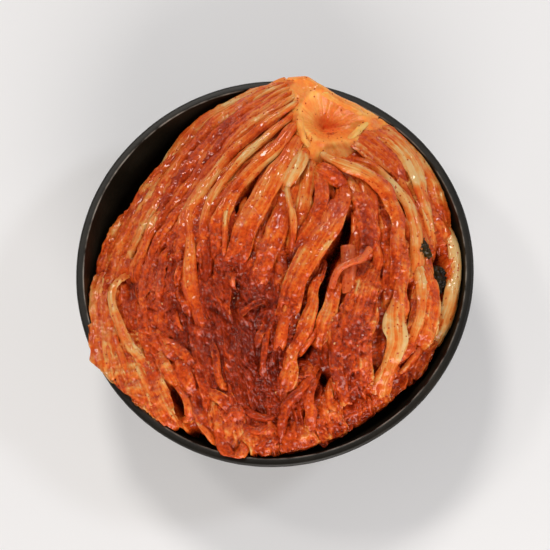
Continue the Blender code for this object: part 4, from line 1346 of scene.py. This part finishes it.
flake_skin = dry_bit("chilli flake", "#b4320f", "#dc5426", 0.35)
seed_skin = dry_bit("chilli seed", "#d98a4a", "#f0bd80", 0.4)
scatter("chilli_flakes", FLAKES, (0.5, 1.4), 0.2, 6, (0.02, 0.98), (0.1, 0.98), flake_skin)
scatter("chilli_seeds", SEEDS, (1.5, 2.0), 0.25, 10, (0.2, 0.8), (0.55, 0.9), seed_skin)

# %% [markdown]
# ## Table, light and camera
# A pale table and a soft room keep the shadows light. Gloss on wet food shows as small bright
# glints, and those need small bright lamps: the main one high behind the stump, and weaker ones
# on the left and right. A wide lamp low in front fills the shadows without adding glints.
# The camera looks almost straight down, as one looks at a dish on a table.

# %% Set the table
FLOOR_REACH = 3.0
corners = np.array(((-1, -1, 0), (1, -1, 0), (1, 1, 0), (-1, 1, 0))) * FLOOR_REACH
floor = make_mesh("floor", corners, [(0, 1, 2, 3)])
table_top, tree, shader = new_material("matt white table", Roughness=0.7)
shader.inputs["Base Color"].default_value = linear("#f2f2f3")
floor.data.materials.append(table_top)


def add_light(name, place, aim, size, watts, colour):
    light = bpy.data.lights.new(name, "AREA")
    light.shape, light.size, light.energy = "DISK", size, watts
    light.color = linear(colour)[:3]
    thing = bpy.data.objects.new(name, light)
    thing.location = place
    thing.rotation_euler = (Vector(aim) - Vector(place)).to_track_quat("-Z", "Y").to_euler()
    bpy.context.scene.collection.objects.link(thing)


add_light("main_light", (-0.22, 0.85, 1.3), (0, 0, 0.05), 0.34, 7.6, "#fffaf4")
add_light("left_light", (-0.7, 0.4, 1.2), (0, 0, 0.05), 0.2, 2.2, "#fffaf4")
add_light("right_light", (0.95, 0.25, 1.1), (0, 0, 0.05), 0.22, 2.8, "#f4f8ff")
add_light("front_light", (0.2, -1.3, 0.6), (0, 0, 0.0), 1.1, 17.5, "#fff9f3")
world = bpy.data.worlds.new("soft room")
world.use_nodes = True
room = world.node_tree
way = node(room, "TexCoord").outputs["Generated"]
rise = node(room, "SeparateXYZ", {0: way}).outputs["Z"]
brighter_low = {"Value": rise, "From Min": 0.25, "From Max": 0.75, "To Min": 0.8, "To Max": 0.12}
level = node(room, "MapRange", brighter_low).outputs[0]
room.nodes["Background"].inputs["Color"].default_value = linear("#f0f0f2")
room.links.new(level, room.nodes["Background"].inputs["Strength"])
bpy.context.scene.world = world
bpy.context.scene.view_settings.view_transform = "Standard"

# %% Aim the camera
CAMERA_TURN = math.radians(14.42)
CAMERA_TILT = math.radians(75.09)
CAMERA_DISTANCE = 0.9
FIELD_WIDTH = 0.3028      # of the table at that distance
AIM_OFFSET = (1.01 * MM, -4.04 * MM)
back = Vector((math.sin(CAMERA_TURN) * math.cos(CAMERA_TILT),
               -math.cos(CAMERA_TURN) * math.cos(CAMERA_TILT), math.sin(CAMERA_TILT)))
rightward = Vector((0, 1, 0)).cross(back).normalized()
upward = back.cross(rightward)
aim = Vector((0, 0, bowl_height)) + rightward * AIM_OFFSET[0] + upward * AIM_OFFSET[1]
camera = bpy.data.objects.new("camera", bpy.data.cameras.new("camera"))
camera.data.lens = camera.data.sensor_width * CAMERA_DISTANCE / FIELD_WIDTH
camera.matrix_world = Matrix((
    (*rightward, 0), (*upward, 0), (*back, 0), (0, 0, 0, 1))).transposed()
camera.location = aim + back * CAMERA_DISTANCE
bpy.context.scene.collection.objects.link(camera)
bpy.context.scene.camera = camera
